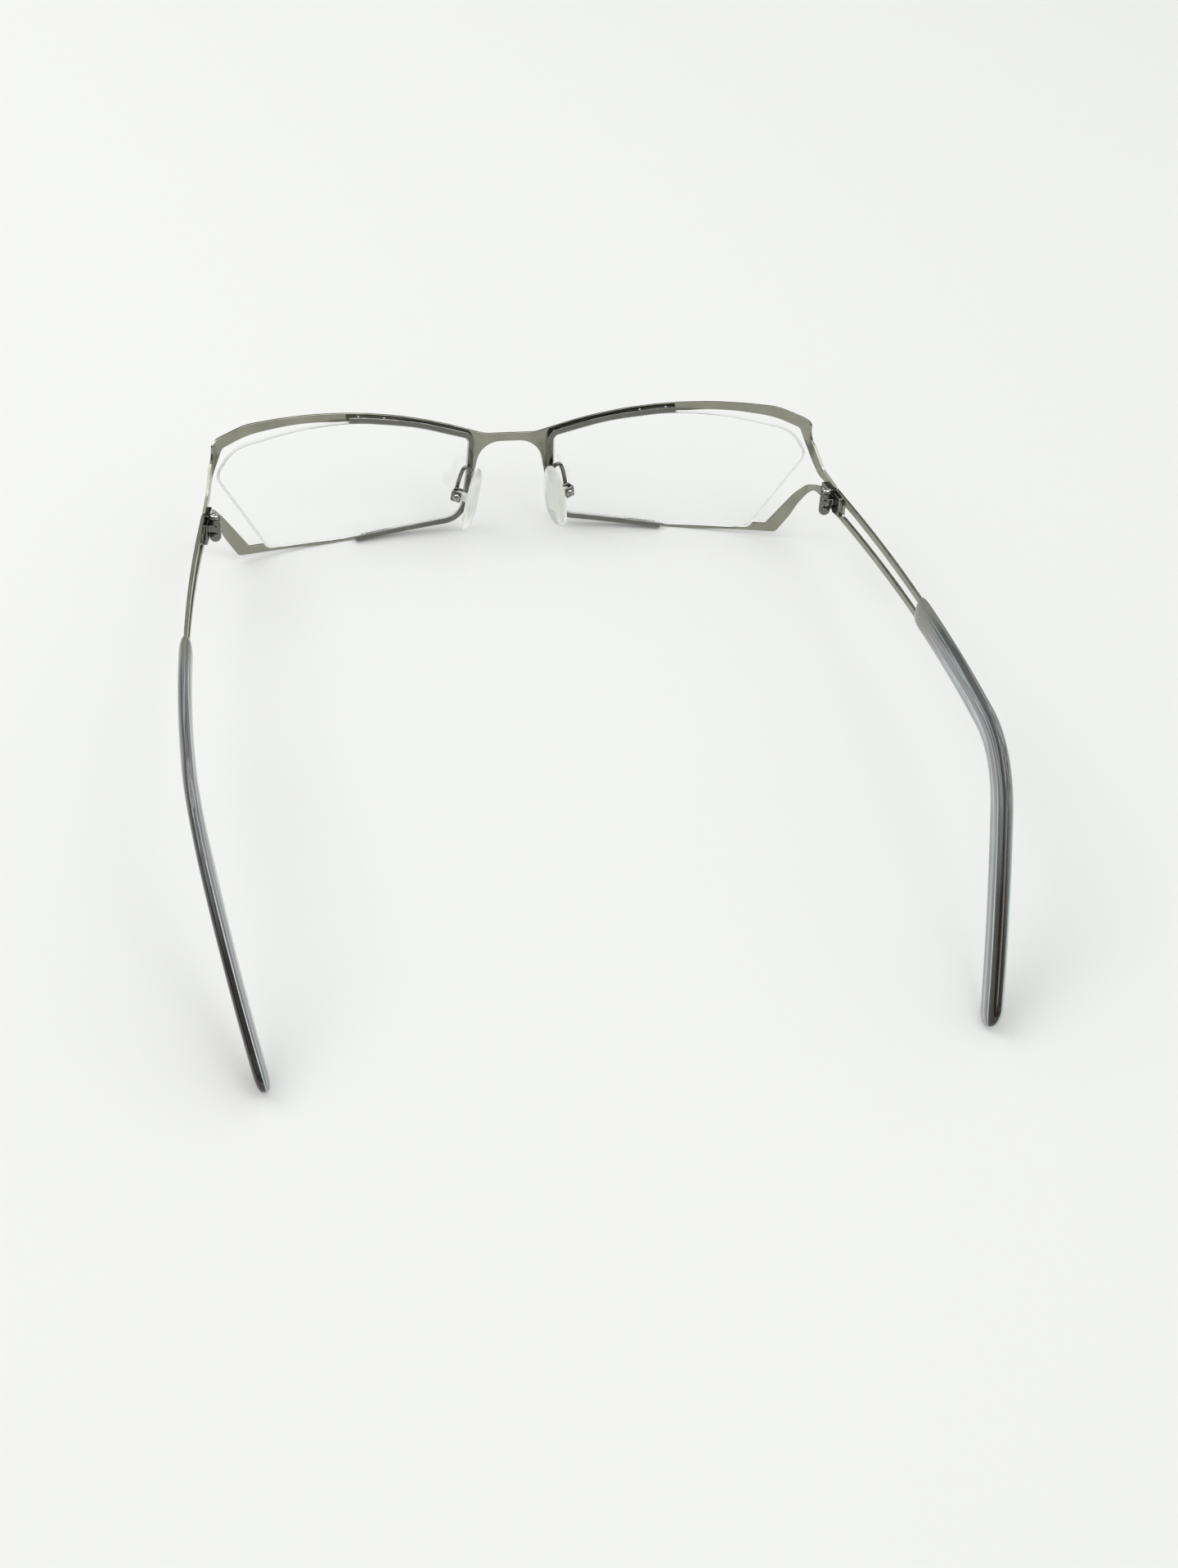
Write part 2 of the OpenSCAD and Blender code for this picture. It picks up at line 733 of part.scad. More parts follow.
module temple_tip(s) {
  body = [for (k = [0:tip_steps]) tip_start + 2 + k * (tip_s - tip_start - 2) / tip_steps];
  color(smoke) stand() side(s) at_temple() difference() {
    skin(concat(
      [for (k = [0:2]) ring(tip_start + k * 2 / 3, tip_w / 2 * (0.7 + 0.1 * k),
        tip_half(tip_start) * (0.955 + 0.015 * k), tip_sides, 0.8)],
      [for (s = body) tip_ring(s, 1)],
      [for (k = [1:nose_steps])
        let (a = 84 * k / nose_steps)
        ring(tip_s + sin(a) * tip_end_h / 2, tip_w / 2 * pow(cos(a), 0.6), tip_half(tip_s) * cos(a), tip_sides, 0.8)]
    ));
    intersection() {
      linear_extrude(height = tang_h + 2 * core_play, center = true) temple_plan(core_play);
      translate([-far / 2, 0, -far / 2]) cube(far);
    }
    core_shape(core_play);
  }
}

// Nose pads, in a frame at the pad's middle: x towards the nose, y back, z up along the pad

pad_mid = [pad_gap / 2, pad_back, pad_z];

module at_pad() {
  translate(pad_mid) rotate([0, 0, -pad_turn]) rotate([0, -pad_lean, 0]) mirror([1, 0, 0]) children();
}

// A point of the pad's frame, in the frame of the glasses
function pad_point(p) =
  let (x = -p.x * cos(pad_lean) - p.z * sin(pad_lean), z = p.z * cos(pad_lean) - p.x * sin(pad_lean))
  pad_mid + [x * cos(pad_turn) + p.y * sin(pad_turn), p.y * cos(pad_turn) - x * sin(pad_turn), z];

pad_rings = 12;
pad_sides = 20;
plate_w = 3.4;
plate_h = 7;
plate_t = 0.6;
lug_t = 1.3;
lug_r = 0.85;
cheek_t = 0.4;
lug_play = 0.1;

// Outline of a pad at height f (from -1 to 1): blunt above, wider below
function pad_half(f) = pad_w / 2 * pow(max(1 - pow(abs(f), 2.6), 0), 0.5) * (1 - 0.1 * f);
function pad_thick(f) = pad_t / 2 * pow(max(1 - pow(abs(f), 4), 0.03), 0.5);

module nose_pad(s) {
  color(silicone) stand() side(s) at_pad() difference() {
    skin([for (k = [0:pad_rings])
      let (f = -0.985 * cos(180 * k / pad_rings), h = max(pad_half(f), 0.3), t = pad_thick(f))
      [for (j = [0:pad_sides - 1])
        let (a = 360 * j / pad_sides)
        [(cos(a) > 0 ? 1 : 0.75) * t * cos(a), h * sin(a), f * pad_h / 2]]]);
    insert_shape(0.02);
  }
}

module insert_shape(play) {
  translate([-plate_t / 2 - play, -plate_w / 2 - play, -plate_h / 2 - play])
    cube([plate_t + 2 * play, plate_w + 2 * play, plate_h + 2 * play]);
  translate([-pad_reach, -lug_t / 2 - play, -lug_r - play])
    cube([pad_reach, lug_t + 2 * play, 2 * (lug_r + play)]);
}

module pad_insert(s) {
  color(silicone) stand() side(s) at_pad() difference() {
    union() {
      insert_shape(0);
      translate([-pad_reach, 0, 0]) rotate([90, 0, 0]) cylinder(r = lug_r, h = lug_t, center = true);
    }
    translate([-pad_reach, 0, 0]) rotate([90, 0, 0])
      cylinder(d = pad_screw_d + 2 * pin_play, h = 2 * lug_t, center = true);
  }
}

box_w = lug_t + 2 * (lug_play + cheek_t);
box_back = lug_r + 0.15;
box_h = 2.4;

module pad_box(s) {
  color(metal) stand() side(s) at_pad() translate([-pad_reach, 0, 0]) difference() {
    translate([-box_back - cheek_t, -box_w / 2, -box_h / 2]) cube([box_back + cheek_t + lug_r, box_w, box_h]);
    translate([-box_back, -lug_t / 2 - lug_play, -box_h]) cube([far, lug_t + 2 * lug_play, 2 * box_h]);
    rotate([90, 0, 0]) cylinder(d = pad_screw_d, h = 2 * box_w, center = true);
  }
}

module pad_screw(s) {
  color(metal) stand() side(s) at_pad() translate([-pad_reach, 0, 0]) {
    rotate([90, 0, 0]) cylinder(d = pad_screw_d, h = box_w + 0.2, center = true);
    difference() {
      translate([0, box_w / 2, 0]) intersection() {
        sphere(r = pad_screw_d);
        translate([-far / 2, 0, -far / 2]) cube(far);
      }
      translate([-slot_w / 2, box_w / 2 + pad_screw_d * 0.6, -far / 2]) cube([slot_w, far, far]);
    }
  }
}

// The wire leaves the back of the rim at the nose, rises over, and comes down on the box's front cheek
wire_start = [nose_x - 0.55, 1.6, 1.6];
wire_x = -pad_reach - box_back + 0.1;
wire_y = -box_w / 2 - wire_d / 2 - 0.005;
wire_pts = [
  wire_start,
  wire_start + [0.05, 1.1, 0.3],
  [nose_x + 0.25, 3.5, 3.4],
  [nose_x + 1.1, 3.9, 3.7],
  [nose_x + 1.8, 3.8, 2.3],
  pad_point([wire_x, wire_y, box_h / 2 + 0.5]),
  pad_point([wire_x, wire_y, 0.3]),
  pad_point([wire_x, wire_y, -box_h / 3])
];

module pad_arm(s) {
  color(metal) stand() side(s) {
    p = spline(wire_pts, 5);
    skin([for (i = [0:len(p) - 1])
      let (
        t = i == 0 ? [0, 1, 0] : i == len(p) - 1 ? unit(p[i] - p[i - 1]) : unit(p[i + 1] - p[i - 1]),
        u = unit(cross(t, [1, 0, 0])),
        w = cross(t, u)
      )
      [for (j = [0:tube_sides - 1])
        let (a = 360 * j / tube_sides)
        p[i] + wire_d / 2 * (u * cos(a) + w * sin(a))]]);
  }
}

front_plate();
half_rim(1);  // half_rim_left
half_rim(-1);  // half_rim_right
rim_liner(1);  // rim_liner_left
rim_liner(-1);  // rim_liner_right
lens(1);  // lens_left
lens(-1);  // lens_right
lens_cord(1);  // lens_cord_left
lens_cord(-1);  // lens_cord_right
pad_arm(1);  // pad_arm_left
pad_arm(-1);  // pad_arm_right
pad_box(1);  // pad_box_left
pad_box(-1);  // pad_box_right
pad_screw(1);  // pad_screw_left
pad_screw(-1);  // pad_screw_right
pad_insert(1);  // pad_insert_left
pad_insert(-1);  // pad_insert_right
nose_pad(1);  // nose_pad_left
nose_pad(-1);  // nose_pad_right
hinge_front_leaf(1);  // hinge_front_leaf_left
hinge_front_leaf(-1);  // hinge_front_leaf_right
hinge_screw(1);  // hinge_screw_left
hinge_screw(-1);  // hinge_screw_right
hinge_temple_leaf(1);  // hinge_temple_leaf_left
hinge_temple_leaf(-1);  // hinge_temple_leaf_right
temple(1);  // temple_left
temple(-1);  // temple_right
temple_core(1);  // temple_core_left
temple_core(-1);  // temple_core_right
temple_tip(1);  // temple_tip_left
temple_tip(-1);  // temple_tip_right
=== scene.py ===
import bmesh
import bpy
import math
from mathutils import Matrix, Vector


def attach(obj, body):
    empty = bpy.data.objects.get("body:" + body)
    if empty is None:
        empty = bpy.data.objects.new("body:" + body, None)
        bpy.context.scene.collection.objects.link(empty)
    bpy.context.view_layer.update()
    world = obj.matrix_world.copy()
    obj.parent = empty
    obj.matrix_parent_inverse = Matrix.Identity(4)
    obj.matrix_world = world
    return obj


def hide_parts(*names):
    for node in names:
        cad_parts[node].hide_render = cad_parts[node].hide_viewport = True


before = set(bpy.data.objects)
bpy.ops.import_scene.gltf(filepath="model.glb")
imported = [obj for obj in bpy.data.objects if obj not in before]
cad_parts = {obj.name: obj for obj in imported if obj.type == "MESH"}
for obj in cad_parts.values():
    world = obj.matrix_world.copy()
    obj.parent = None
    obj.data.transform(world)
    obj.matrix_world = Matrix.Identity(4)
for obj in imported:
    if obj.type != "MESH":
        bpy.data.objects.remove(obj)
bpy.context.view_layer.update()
bpy.ops.object.select_all(action="DESELECT")

# Camera, table and light
# The glasses lie open on a white table and are seen from above and behind, from a little to the wearer's
# left. A wide soft lamp stands on the wearer's left, another hangs overhead, and the surround is white.

CAMERA_AT = (0.085627, 0.31694, 0.32801)
FOCAL_MM, FILM_MM = 52.557, 36.0
TABLE_W, TABLE_GAP = 6.0, 0.00003
TABLE_WHITE = (0.895, 0.903, 0.897, 1.0)
SEEN_WHITE = (0.895, 0.903, 0.905, 1.0)
FILL_WHITE = (0.806, 0.812, 0.800, 1.0)

view_right = Vector((-0.97872, 0.18130, 0.09615)).normalized()
view_back = Vector((0.19468, 0.67212, 0.71439)).normalized()
view_up = view_back.cross(view_right).normalized()
view_right = view_up.cross(view_back)
turned_to = Matrix((view_right, view_up, view_back)).transposed().to_4x4()
camera_data = bpy.data.cameras.new("camera")
camera_data.sensor_fit = "VERTICAL"
camera_data.sensor_height = FILM_MM
camera_data.lens = FOCAL_MM
camera_data.clip_start = 0.01
camera_data.clip_end = 20.0
camera = bpy.data.objects.new("camera", camera_data)
camera.matrix_world = Matrix.Translation(CAMERA_AT) @ turned_to
bpy.context.scene.collection.objects.link(camera)
bpy.context.scene.camera = camera
bpy.context.scene.view_settings.view_transform = "Standard"


def new_material(name, values):
    """A material, its nodes and its shader, with values set on the shader's own sockets."""
    made = bpy.data.materials.new(name)
    made.use_nodes = True
    shader = made.node_tree.nodes["Principled BSDF"]
    for label, value in values.items():
        shader.inputs[label].default_value = value
    return made, made.node_tree, shader


def add_node(tree, kind, inputs=None, **settings):
    """A node with its settings, each input given a value or joined to another node's output."""
    node = tree.nodes.new(kind)
    for label, value in settings.items():
        setattr(node, label, value)
    for label, value in (inputs or {}).items():
        if isinstance(value, bpy.types.NodeSocket):
            tree.links.new(value, node.inputs[label])
        else:
            node.inputs[label].default_value = value
    return node


def reckoned(tree, operation, *values, clamp=False):
    """The result of one sum on numbers and sockets."""
    node = add_node(tree, "ShaderNodeMath", dict(enumerate(values)), operation=operation, use_clamp=clamp)
    return node.outputs[0]


def rescaled(tree, value, low, high, to_low=0.0, to_high=1.0, steps="LINEAR"):
    """A socket's value, taken from the range low to high to the range to_low to to_high."""
    node = add_node(tree, "ShaderNodeMapRange", {
        "Value": value, "From Min": low, "From Max": high, "To Min": to_low, "To Max": to_high,
    }, interpolation_type=steps)
    return node.outputs["Result"]


def scaled(tree, vector, share):
    """A colour or vector times a socket's value."""
    return add_node(tree, "ShaderNodeVectorMath", {0: vector, "Scale": share}, operation="SCALE").outputs[0]


def ramped(tree, value, stops):
    """The colour that a ramp with the given stops, each a place and a colour, has for a value."""
    node = add_node(tree, "ShaderNodeValToRGB", {"Fac": value})
    ends = node.color_ramp.elements
    ends[0].position, ends[0].color = stops[0][0], (*stops[0][1], 1.0)
    ends[1].position, ends[1].color = stops[-1][0], (*stops[-1][1], 1.0)
    for place, colour in stops[1:-1]:
        node.color_ramp.elements.new(place).color = (*colour, 1.0)
    return node.outputs["Color"]


bpy.ops.mesh.primitive_plane_add(size=TABLE_W, location=(0.0, 0.0, -TABLE_GAP))
table = bpy.context.object
table.name = "table_top"
table.data.materials.append(new_material("white_table", {
    "Base Color": TABLE_WHITE, "Roughness": 0.9, "Specular IOR Level": 0.1})[0])

surround = bpy.data.worlds.new("white_surround")
bpy.context.scene.world = surround
surround.use_nodes = True
air = surround.node_tree
air.nodes.clear()
rays = add_node(air, "ShaderNodeLightPath")
heading = add_node(air, "ShaderNodeTexCoord").outputs["Generated"]
seen = add_node(air, "ShaderNodeBackground", {"Color": SEEN_WHITE})
fill = add_node(air, "ShaderNodeBackground", {"Color": FILL_WHITE})
# what metal mirrors: a room that is dark below and pale above
height = add_node(air, "ShaderNodeSeparateXYZ", {0: heading})
shade = ramped(air, height.outputs["Z"], (
    (0.0, (0.01, 0.01, 0.011)), (0.38, (0.025, 0.025, 0.025)), (0.56, (0.15, 0.15, 0.15)),
    (0.76, (0.30, 0.30, 0.30)), (0.92, (0.34, 0.34, 0.34))))
# one side of the room is dark
towards = add_node(air, "ShaderNodeVectorMath", {0: heading, 1: view_back}, operation="DOT_PRODUCT")
dark_side = rescaled(air, towards.outputs["Value"], 0.80, 0.95, 1.0, 0.12, "SMOOTHSTEP")
# windows and walls
walls = add_node(air, "ShaderNodeTexNoise", {"Vector": heading, "Scale": 4.5, "Detail": 1.0})
windows = rescaled(air, walls.outputs["Fac"], 0.47, 0.55, 0.25, 3.4, "SMOOTHSTEP")
room = scaled(air, shade, reckoned(air, "MULTIPLY", dark_side, windows))
mirrored = add_node(air, "ShaderNodeBackground", {"Color": room, "Strength": 4.0})
by_gloss = add_node(air, "ShaderNodeMixShader", {
    "Fac": rays.outputs["Is Glossy Ray"], 1: fill.outputs[0], 2: mirrored.outputs[0]})
clear_ray = reckoned(air, "MAXIMUM", rays.outputs["Is Camera Ray"], rays.outputs["Is Transmission Ray"])
by_camera = add_node(air, "ShaderNodeMixShader", {
    "Fac": clear_ray, 1: by_gloss.outputs[0], 2: seen.outputs[0]})
add_node(air, "ShaderNodeOutputWorld", {"Surface": by_camera.outputs[0]})

for lamp_name, place, lamp_w, watts, tint in (
    ("side_lamp", (0.55, -0.25, 0.75), 0.55, 1.7, (1.0, 0.985, 0.96)),
    ("top_lamp", (-0.35, 0.35, 1.0), 0.5, 1.0, (1.0, 1.0, 1.0)),
):
    lamp_data = bpy.data.lights.new(lamp_name, "AREA")
    lamp_data.shape = "DISK"
    lamp_data.size = lamp_w
    lamp_data.energy = watts
    lamp_data.color = tint
    lamp = bpy.data.objects.new(lamp_name, lamp_data)
    aimed = Vector(place).to_track_quat("Z", "Y").to_matrix().to_4x4()
    lamp.matrix_world = Matrix.Translation(place) @ aimed
    bpy.context.scene.collection.objects.link(lamp)

# Front sheet
# One stamped metal sheet carries both eyes: bridge, brow bars, thin bottom bars, pointed lower corners and
# the arms that bend back to the hinges. It is plated dark, polished, and its cut edges are tumbled round.

MM = 0.001
WRAP_R, WRAP_HALF_W = 218.0, 62.8
SHEET_T = 0.6
BEND_R = 4.0
SPLAY = 10.5
SHEET_EDGE = 0.12
STRIP = 1.5
# facets of a solid stray this far from its true curve
STRAY = 0.03
# the wrap turns the sheet to WRAP_A, the bend on to ARM_A, and the arm runs straight back from there
WRAP_A = math.asin(WRAP_HALF_W / WRAP_R)
ARM_A = math.radians(90.0 - SPLAY)
WRAP_L, BEND_L = WRAP_R * WRAP_A, BEND_R * (ARM_A - WRAP_A)
BEND_MID = Vector(((WRAP_R - BEND_R) * math.sin(WRAP_A), WRAP_R - (WRAP_R - BEND_R) * math.cos(WRAP_A)))
# from the glasses as worn, in millimetres, to where they lie on the table
stand = (Matrix.Scale(MM, 4) @ Matrix.Translation((0.0, -75.7106, 12.3081))
         @ Matrix.Rotation(math.radians(12.6789), 4, "X"))


def add_group(name, inputs):
    """A node group with these inputs, which puts out a surface's Colour, Roughness and Height."""
    group = bpy.data.node_groups.new(name, "ShaderNodeTree")
    for label, kind, value in inputs:
        socket = group.interface.new_socket(label, in_out="INPUT", socket_type="NodeSocket" + kind)
        socket.default_value = value
    for label, kind in (("Colour", "Color"), ("Roughness", "Float"), ("Height", "Float")):
        group.interface.new_socket(label, in_out="OUTPUT", socket_type="NodeSocket" + kind)
    return group, add_node(group, "NodeGroupInput").outputs


def build_plating():
    """Plated metal: cloudy colour, fine polishing lines, and plating rubbed bright along the edges."""
    group, given = add_group("plated_metal", (
        ("Colour", "Color", (0.3, 0.3, 0.3, 1.0)), ("Rubbed Colour", "Color", (0.5, 0.5, 0.5, 1.0)),
        ("Roughness", "Float", 0.2), ("Rubbing", "Float", 0.5), ("Lines", "Vector", (300.0, 300.0, 4000.0))))
    where = add_node(group, "ShaderNodeTexCoord").outputs["Object"]
    cloud = add_node(group, "ShaderNodeTexNoise", {
        "Vector": where, "Scale": 170.0, "Detail": 3.0}).outputs["Fac"]
    stretched = add_node(group, "ShaderNodeVectorMath", {0: where, 1: given["Lines"]}, operation="MULTIPLY")
    lines = add_node(group, "ShaderNodeTexNoise", {
        "Vector": stretched.outputs[0], "Scale": 1.0, "Detail": 4.0, "Roughness": 0.65}).outputs["Fac"]
    # rubbed edges: where a rounded normal leaves the true one
    rounded = add_node(group, "ShaderNodeBevel", {"Radius": 0.00022}, samples=4)
    true = add_node(group, "ShaderNodeNewGeometry")
    facing = add_node(group, "ShaderNodeVectorMath", {
        0: rounded.outputs[0], 1: true.outputs["Normal"]}, operation="DOT_PRODUCT")
    edge = rescaled(group, facing.outputs["Value"], 1.0, 0.86)
    worn = reckoned(group, "MULTIPLY", edge, given["Rubbing"])
    patchy = reckoned(group, "MULTIPLY", worn, rescaled(group, cloud, 0.35, 0.6, 0.35, 1.0))
    tinted = scaled(group, given["Colour"], rescaled(group, cloud, 0.3, 0.7, 0.88, 1.1))
    colour = add_node(group, "ShaderNodeMix", {
        "Factor": patchy, "A": tinted, "B": given["Rubbed Colour"]}, data_type="RGBA")
    uneven = rescaled(group, lines, 0.3, 0.7, -0.05, 0.06)
    rough = reckoned(group, "ADD", given["Roughness"], uneven, clamp=True)
    add_node(group, "NodeGroupOutput", {
        "Colour": colour.outputs["Result"], "Roughness": rough, "Height": lines})
    return group


plating = build_plating()


def surfaced(tree, shader, finish, relief, depth):
    """Joins a finish's colour, roughness and fine relief to a material's shader."""
    tree.links.new(finish.outputs["Colour"], shader.inputs["Base Color"])
    tree.links.new(finish.outputs["Roughness"], shader.inputs["Roughness"])
    bump = add_node(tree, "ShaderNodeBump", {
        "Strength": relief, "Distance": depth, "Height": finish.outputs["Height"]})
    tree.links.new(bump.outputs[0], shader.inputs["Normal"])


def plated(name, colour, rubbed, roughness, rubbing, lines, relief):
    """A material of plated and polished metal."""
    made, tree, shader = new_material(name, {"Metallic": 1.0})
    finish = add_node(tree, "ShaderNodeGroup", {
        "Colour": (*colour, 1.0), "Rubbed Colour": (*rubbed, 1.0), "Roughness": roughness,
        "Rubbing": rubbing, "Lines": lines}, node_tree=plating)
    surfaced(tree, shader, finish, relief, 0.00002)
    return made


sheet_metal = plated("gunmetal_sheet", (0.300, 0.298, 0.240), (0.50, 0.49, 0.43), 0.20, 0.4,
                     (260.0, 900.0, 3800.0), 0.10)


def joined_copy(node, name):
    """A copy of a solid's mesh with its corners joined, as a new object."""
    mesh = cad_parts[node].data.copy()
    mesh.materials.clear()
    piece = bpy.data.objects.new(name, mesh)
    bpy.context.scene.collection.objects.link(piece)
    bm = bmesh.new()
    bm.from_mesh(mesh)
    bmesh.ops.remove_doubles(bm, verts=bm.verts, dist=0.000002)
    bm.to_mesh(mesh)
    bm.free()
    return piece


def finished(piece, smooth, width=0.0, segments=1, limit=30.0):
    """Rounds a piece's edges over limit degrees, if a width is given, and shades it smooth."""
    bpy.ops.object.select_all(action="DESELECT")
    piece.select_set(True)
    bpy.context.view_layer.objects.active = piece
    if width:
        bevel = piece.modifiers.new("rounded edges", "BEVEL")
        bevel.width = width * MM
        bevel.segments = segments
        bevel.limit_method = "ANGLE"
        bevel.angle_limit = math.radians(limit)
        bevel.use_clamp_overlap = False
        bevel.loop_slide = False
        bpy.ops.object.modifier_apply(modifier=bevel.name)
    bpy.ops.object.shade_smooth_by_angle(angle=math.radians(smooth))
    weighted = piece.modifiers.new("even shading", "WEIGHTED_NORMAL")
    weighted.keep_sharp = True
    bpy.ops.object.modifier_apply(modifier=weighted.name)
    piece.select_set(False)


def flattened(p, wrap_l=WRAP_L):
    """Where a point of the worn front lies in its flat blank: (along, back from the sheet, up)."""
    x, y = abs(p.x), p.y
    along = WRAP_R * math.atan2(x, WRAP_R - y)
    deep = math.hypot(x, WRAP_R - y) - WRAP_R
    if along > wrap_l:
        x, y = x - BEND_MID.x, y - BEND_MID.y
        turn = math.atan2(x, -y)
        along, deep = WRAP_L + BEND_R * (turn - WRAP_A), math.hypot(x, y) - BEND_R
        if turn > ARM_A:
            along = WRAP_L + BEND_L + x * math.cos(ARM_A) + y * math.sin(ARM_A)
            deep = x * math.sin(ARM_A) - y * math.cos(ARM_A) - BEND_R
    if abs(deep) < STRAY:
        deep = 0.0
    return Vector((math.copysign(along, p.x), -deep, p.z))


def bent(p, wrap_l=WRAP_L):
    """The point of the worn front that a point of the flat blank comes to, and how far it turns there."""
    along, deep = abs(p.x), -p.y
    turn = min(along, wrap_l) / WRAP_R
    x, y = (WRAP_R + deep) * math.sin(turn), WRAP_R - (WRAP_R + deep) * math.cos(turn)
    if along > wrap_l:
        turn = min(WRAP_A + (along - WRAP_L) / BEND_R, ARM_A)
        beyond = max(along - WRAP_L - BEND_L, 0.0)
        x = BEND_MID.x + (BEND_R + deep) * math.sin(turn) + beyond * math.cos(turn)
        y = BEND_MID.y - (BEND_R + deep) * math.cos(turn) + beyond * math.sin(turn)
    return Vector((math.copysign(x, p.x), y, p.z)), math.copysign(turn, p.x)


def square_cut(bm):
    """Makes the flattened solid a blank with the outline of its back face, cut square through the sheet."""
    off_back = [f for f in bm.faces if any(abs(v.co.y) > 0.001 for v in f.verts)]
    bmesh.ops.delete(bm, geom=off_back, context="FACES")
    bmesh.ops.dissolve_limit(bm, angle_limit=math.radians(1.5), verts=bm.verts, edges=bm.edges)
    # the short steps of the outline along the bend are evened out
    bend_end, short, rounds = WRAP_L + BEND_L + 0.5, 1.2, 8
    for again in range(rounds):
        moves = []
        for v in bm.verts:
            sides = [e.other_vert(v) for e in v.link_edges if e.is_boundary]
            if WRAP_L < abs(v.co.x) < bend_end and len(sides) == 2:
                if all((o.co - v.co).length < short for o in sides):
                    moves.append((v, v.co * 0.5 + (sides[0].co + sides[1].co) * 0.25))
        for v, co in moves:
            v.co = co
    # the sheet is thickened face by face, because an extruded region comes in another order each run
    back, rim = bm.faces[:], [e.link_loops[0] for e in bm.edges if e.is_boundary]
    ahead = {v: bm.verts.new(v.co - Vector((0.0, SHEET_T, 0.0))) for v in bm.verts[:]}
    for f in back:
        bm.faces.new([ahead[v] for v in reversed(f.verts)])
    for loop in rim:
        a, b = loop.vert, loop.link_loop_next.vert
        bm.faces.new((b, a, ahead[a], ahead[b]))
    bmesh.ops.recalc_face_normals(bm, faces=bm.faces[:])


# the three kinds of face on a formed piece, and how far along the normals of its broad faces lie
ROUNDED, CUT, BROAD = 0, 1, 2
BROAD_NORMAL = 0.9


def formed(piece, place, width, limit, stations, lay_flat, shape, square=False):
    """Finishes a curved piece as a flat blank, then shapes it again.

    In the flat, its edges over limit degrees are rounded and its faces are divided at the stations. Broad and
    cut faces keep their own shading, and a rounded edge runs from one to the next.
    """
    bm = bmesh.new()
    bm.from_mesh(piece.data)
    bm.transform(place.inverted())
    for v in bm.verts:
        v.co = lay_flat(v.co)
    if square:
        square_cut(bm)
    bmesh.ops.dissolve_limit(bm, angle_limit=math.radians(0.6), verts=bm.verts, edges=bm.edges)
    kind = bm.faces.layers.int.new("kind")
    bm.normal_update()
    for f in bm.faces:
        f[kind] = BROAD if abs(f.normal.y) > BROAD_NORMAL else CUT
    rims = [e for e in bm.edges if e.is_manifold and e.calc_face_angle() > math.radians(limit)]
    rounded = bmesh.ops.bevel(bm, geom=rims, offset=width, offset_type="OFFSET", segments=2, profile=0.5,
                              affect="EDGES", clamp_overlap=False, loop_slide=False)["faces"]
    for f in rounded:
        f[kind] = ROUNDED
    for along in stations:
        bmesh.ops.bisect_plane(bm, geom=bm.verts[:] + bm.edges[:] + bm.faces[:], dist=0.002,
                               plane_co=(along, 0.0, 0.0), plane_no=(1.0, 0.0, 0.0))
    bm.normal_update()
    shading, out = [], math.copysign(1.0, place.determinant()) * place.to_3x3()
    for f in bm.faces:
        alike = 0.3 if f[kind] == ROUNDED else 0.85
        for v in f.verts:
            near = [g for g in v.link_faces if g.normal.dot(f.normal) > alike]
            best = CUT if f[kind] == CUT else max(g[kind] for g in near)
            total = Vector()
            for g in near:
                if g[kind] == best:
                    total += g.normal * g.calc_area()
            turned = Matrix.Rotation(shape(v.co)[1], 3, "Z") @ total.normalized()
            shading.append((out @ turned).normalized())
    for v in bm.verts:
        v.co = shape(v.co)[0]
    bm.transform(place)
    for f in bm.faces:
        f.smooth = True
    bm.to_mesh(piece.data)
    bm.free()
    piece.data.normals_split_custom_set(shading)


strips = [STRIP * i for i in range(-42, 43)]
folds = [side * (WRAP_L + BEND_L * i / 16) for side in (-1, 1) for i in range(17)]
front_sheet = joined_copy("front_plate", "front_sheet")
formed(front_sheet, stand, SHEET_EDGE, 32.0, strips + folds, flattened, bent, True)
front_sheet.data.materials.append(sheet_metal)
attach(front_sheet, "front")
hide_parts("front_plate")

# Half rims and their liners
# A channel of drawn wire is soldered to the back of the sheet round the nose half of each lens. It is
# polished brighter than the sheet. A clear liner lies in its groove, between the metal and the lens.

RIM_EDGE = 0.09
# an along that no rim or lens reaches: they have the front's wrap and no bend
NO_BEND = 999.0
rim_metal = plated("gunmetal_rim", (0.155, 0.153, 0.137), (0.80, 0.79, 0.76), 0.08, 0.75,
                   (900.0, 900.0, 900.0), 0.06)
worn_to = {"left": stand, "right": stand @ Matrix.Scale(-1.0, 4, (1.0, 0.0, 0.0))}


def build_clouding():
    """Slow changes of tint and gloss in a clear plastic, and the faint waviness of its skin."""
    group, given = add_group("clear_plastic", (
        ("Colour", "Color", (0.9, 0.9, 0.9, 1.0)), ("Roughness", "Float", 0.1), ("Scale", "Float", 300.0),
        ("Spread", "Float", 0.1)))
    where = add_node(group, "ShaderNodeTexCoord").outputs["Object"]
    cloud = add_node(group, "ShaderNodeTexNoise", {
        "Vector": where, "Scale": given["Scale"], "Detail": 3.0}).outputs["Fac"]
    centred = reckoned(group, "SUBTRACT", cloud, 0.5)
    level = reckoned(group, "ADD", reckoned(group, "MULTIPLY", centred, given["Spread"]), 1.0)
    gloss = reckoned(group, "MULTIPLY_ADD", centred, 0.08, given["Roughness"], clamp=True)
    add_node(group, "NodeGroupOutput", {
        "Colour": scaled(group, given["Colour"], level), "Roughness": gloss, "Height": cloud})
    return group


clouding = build_clouding()


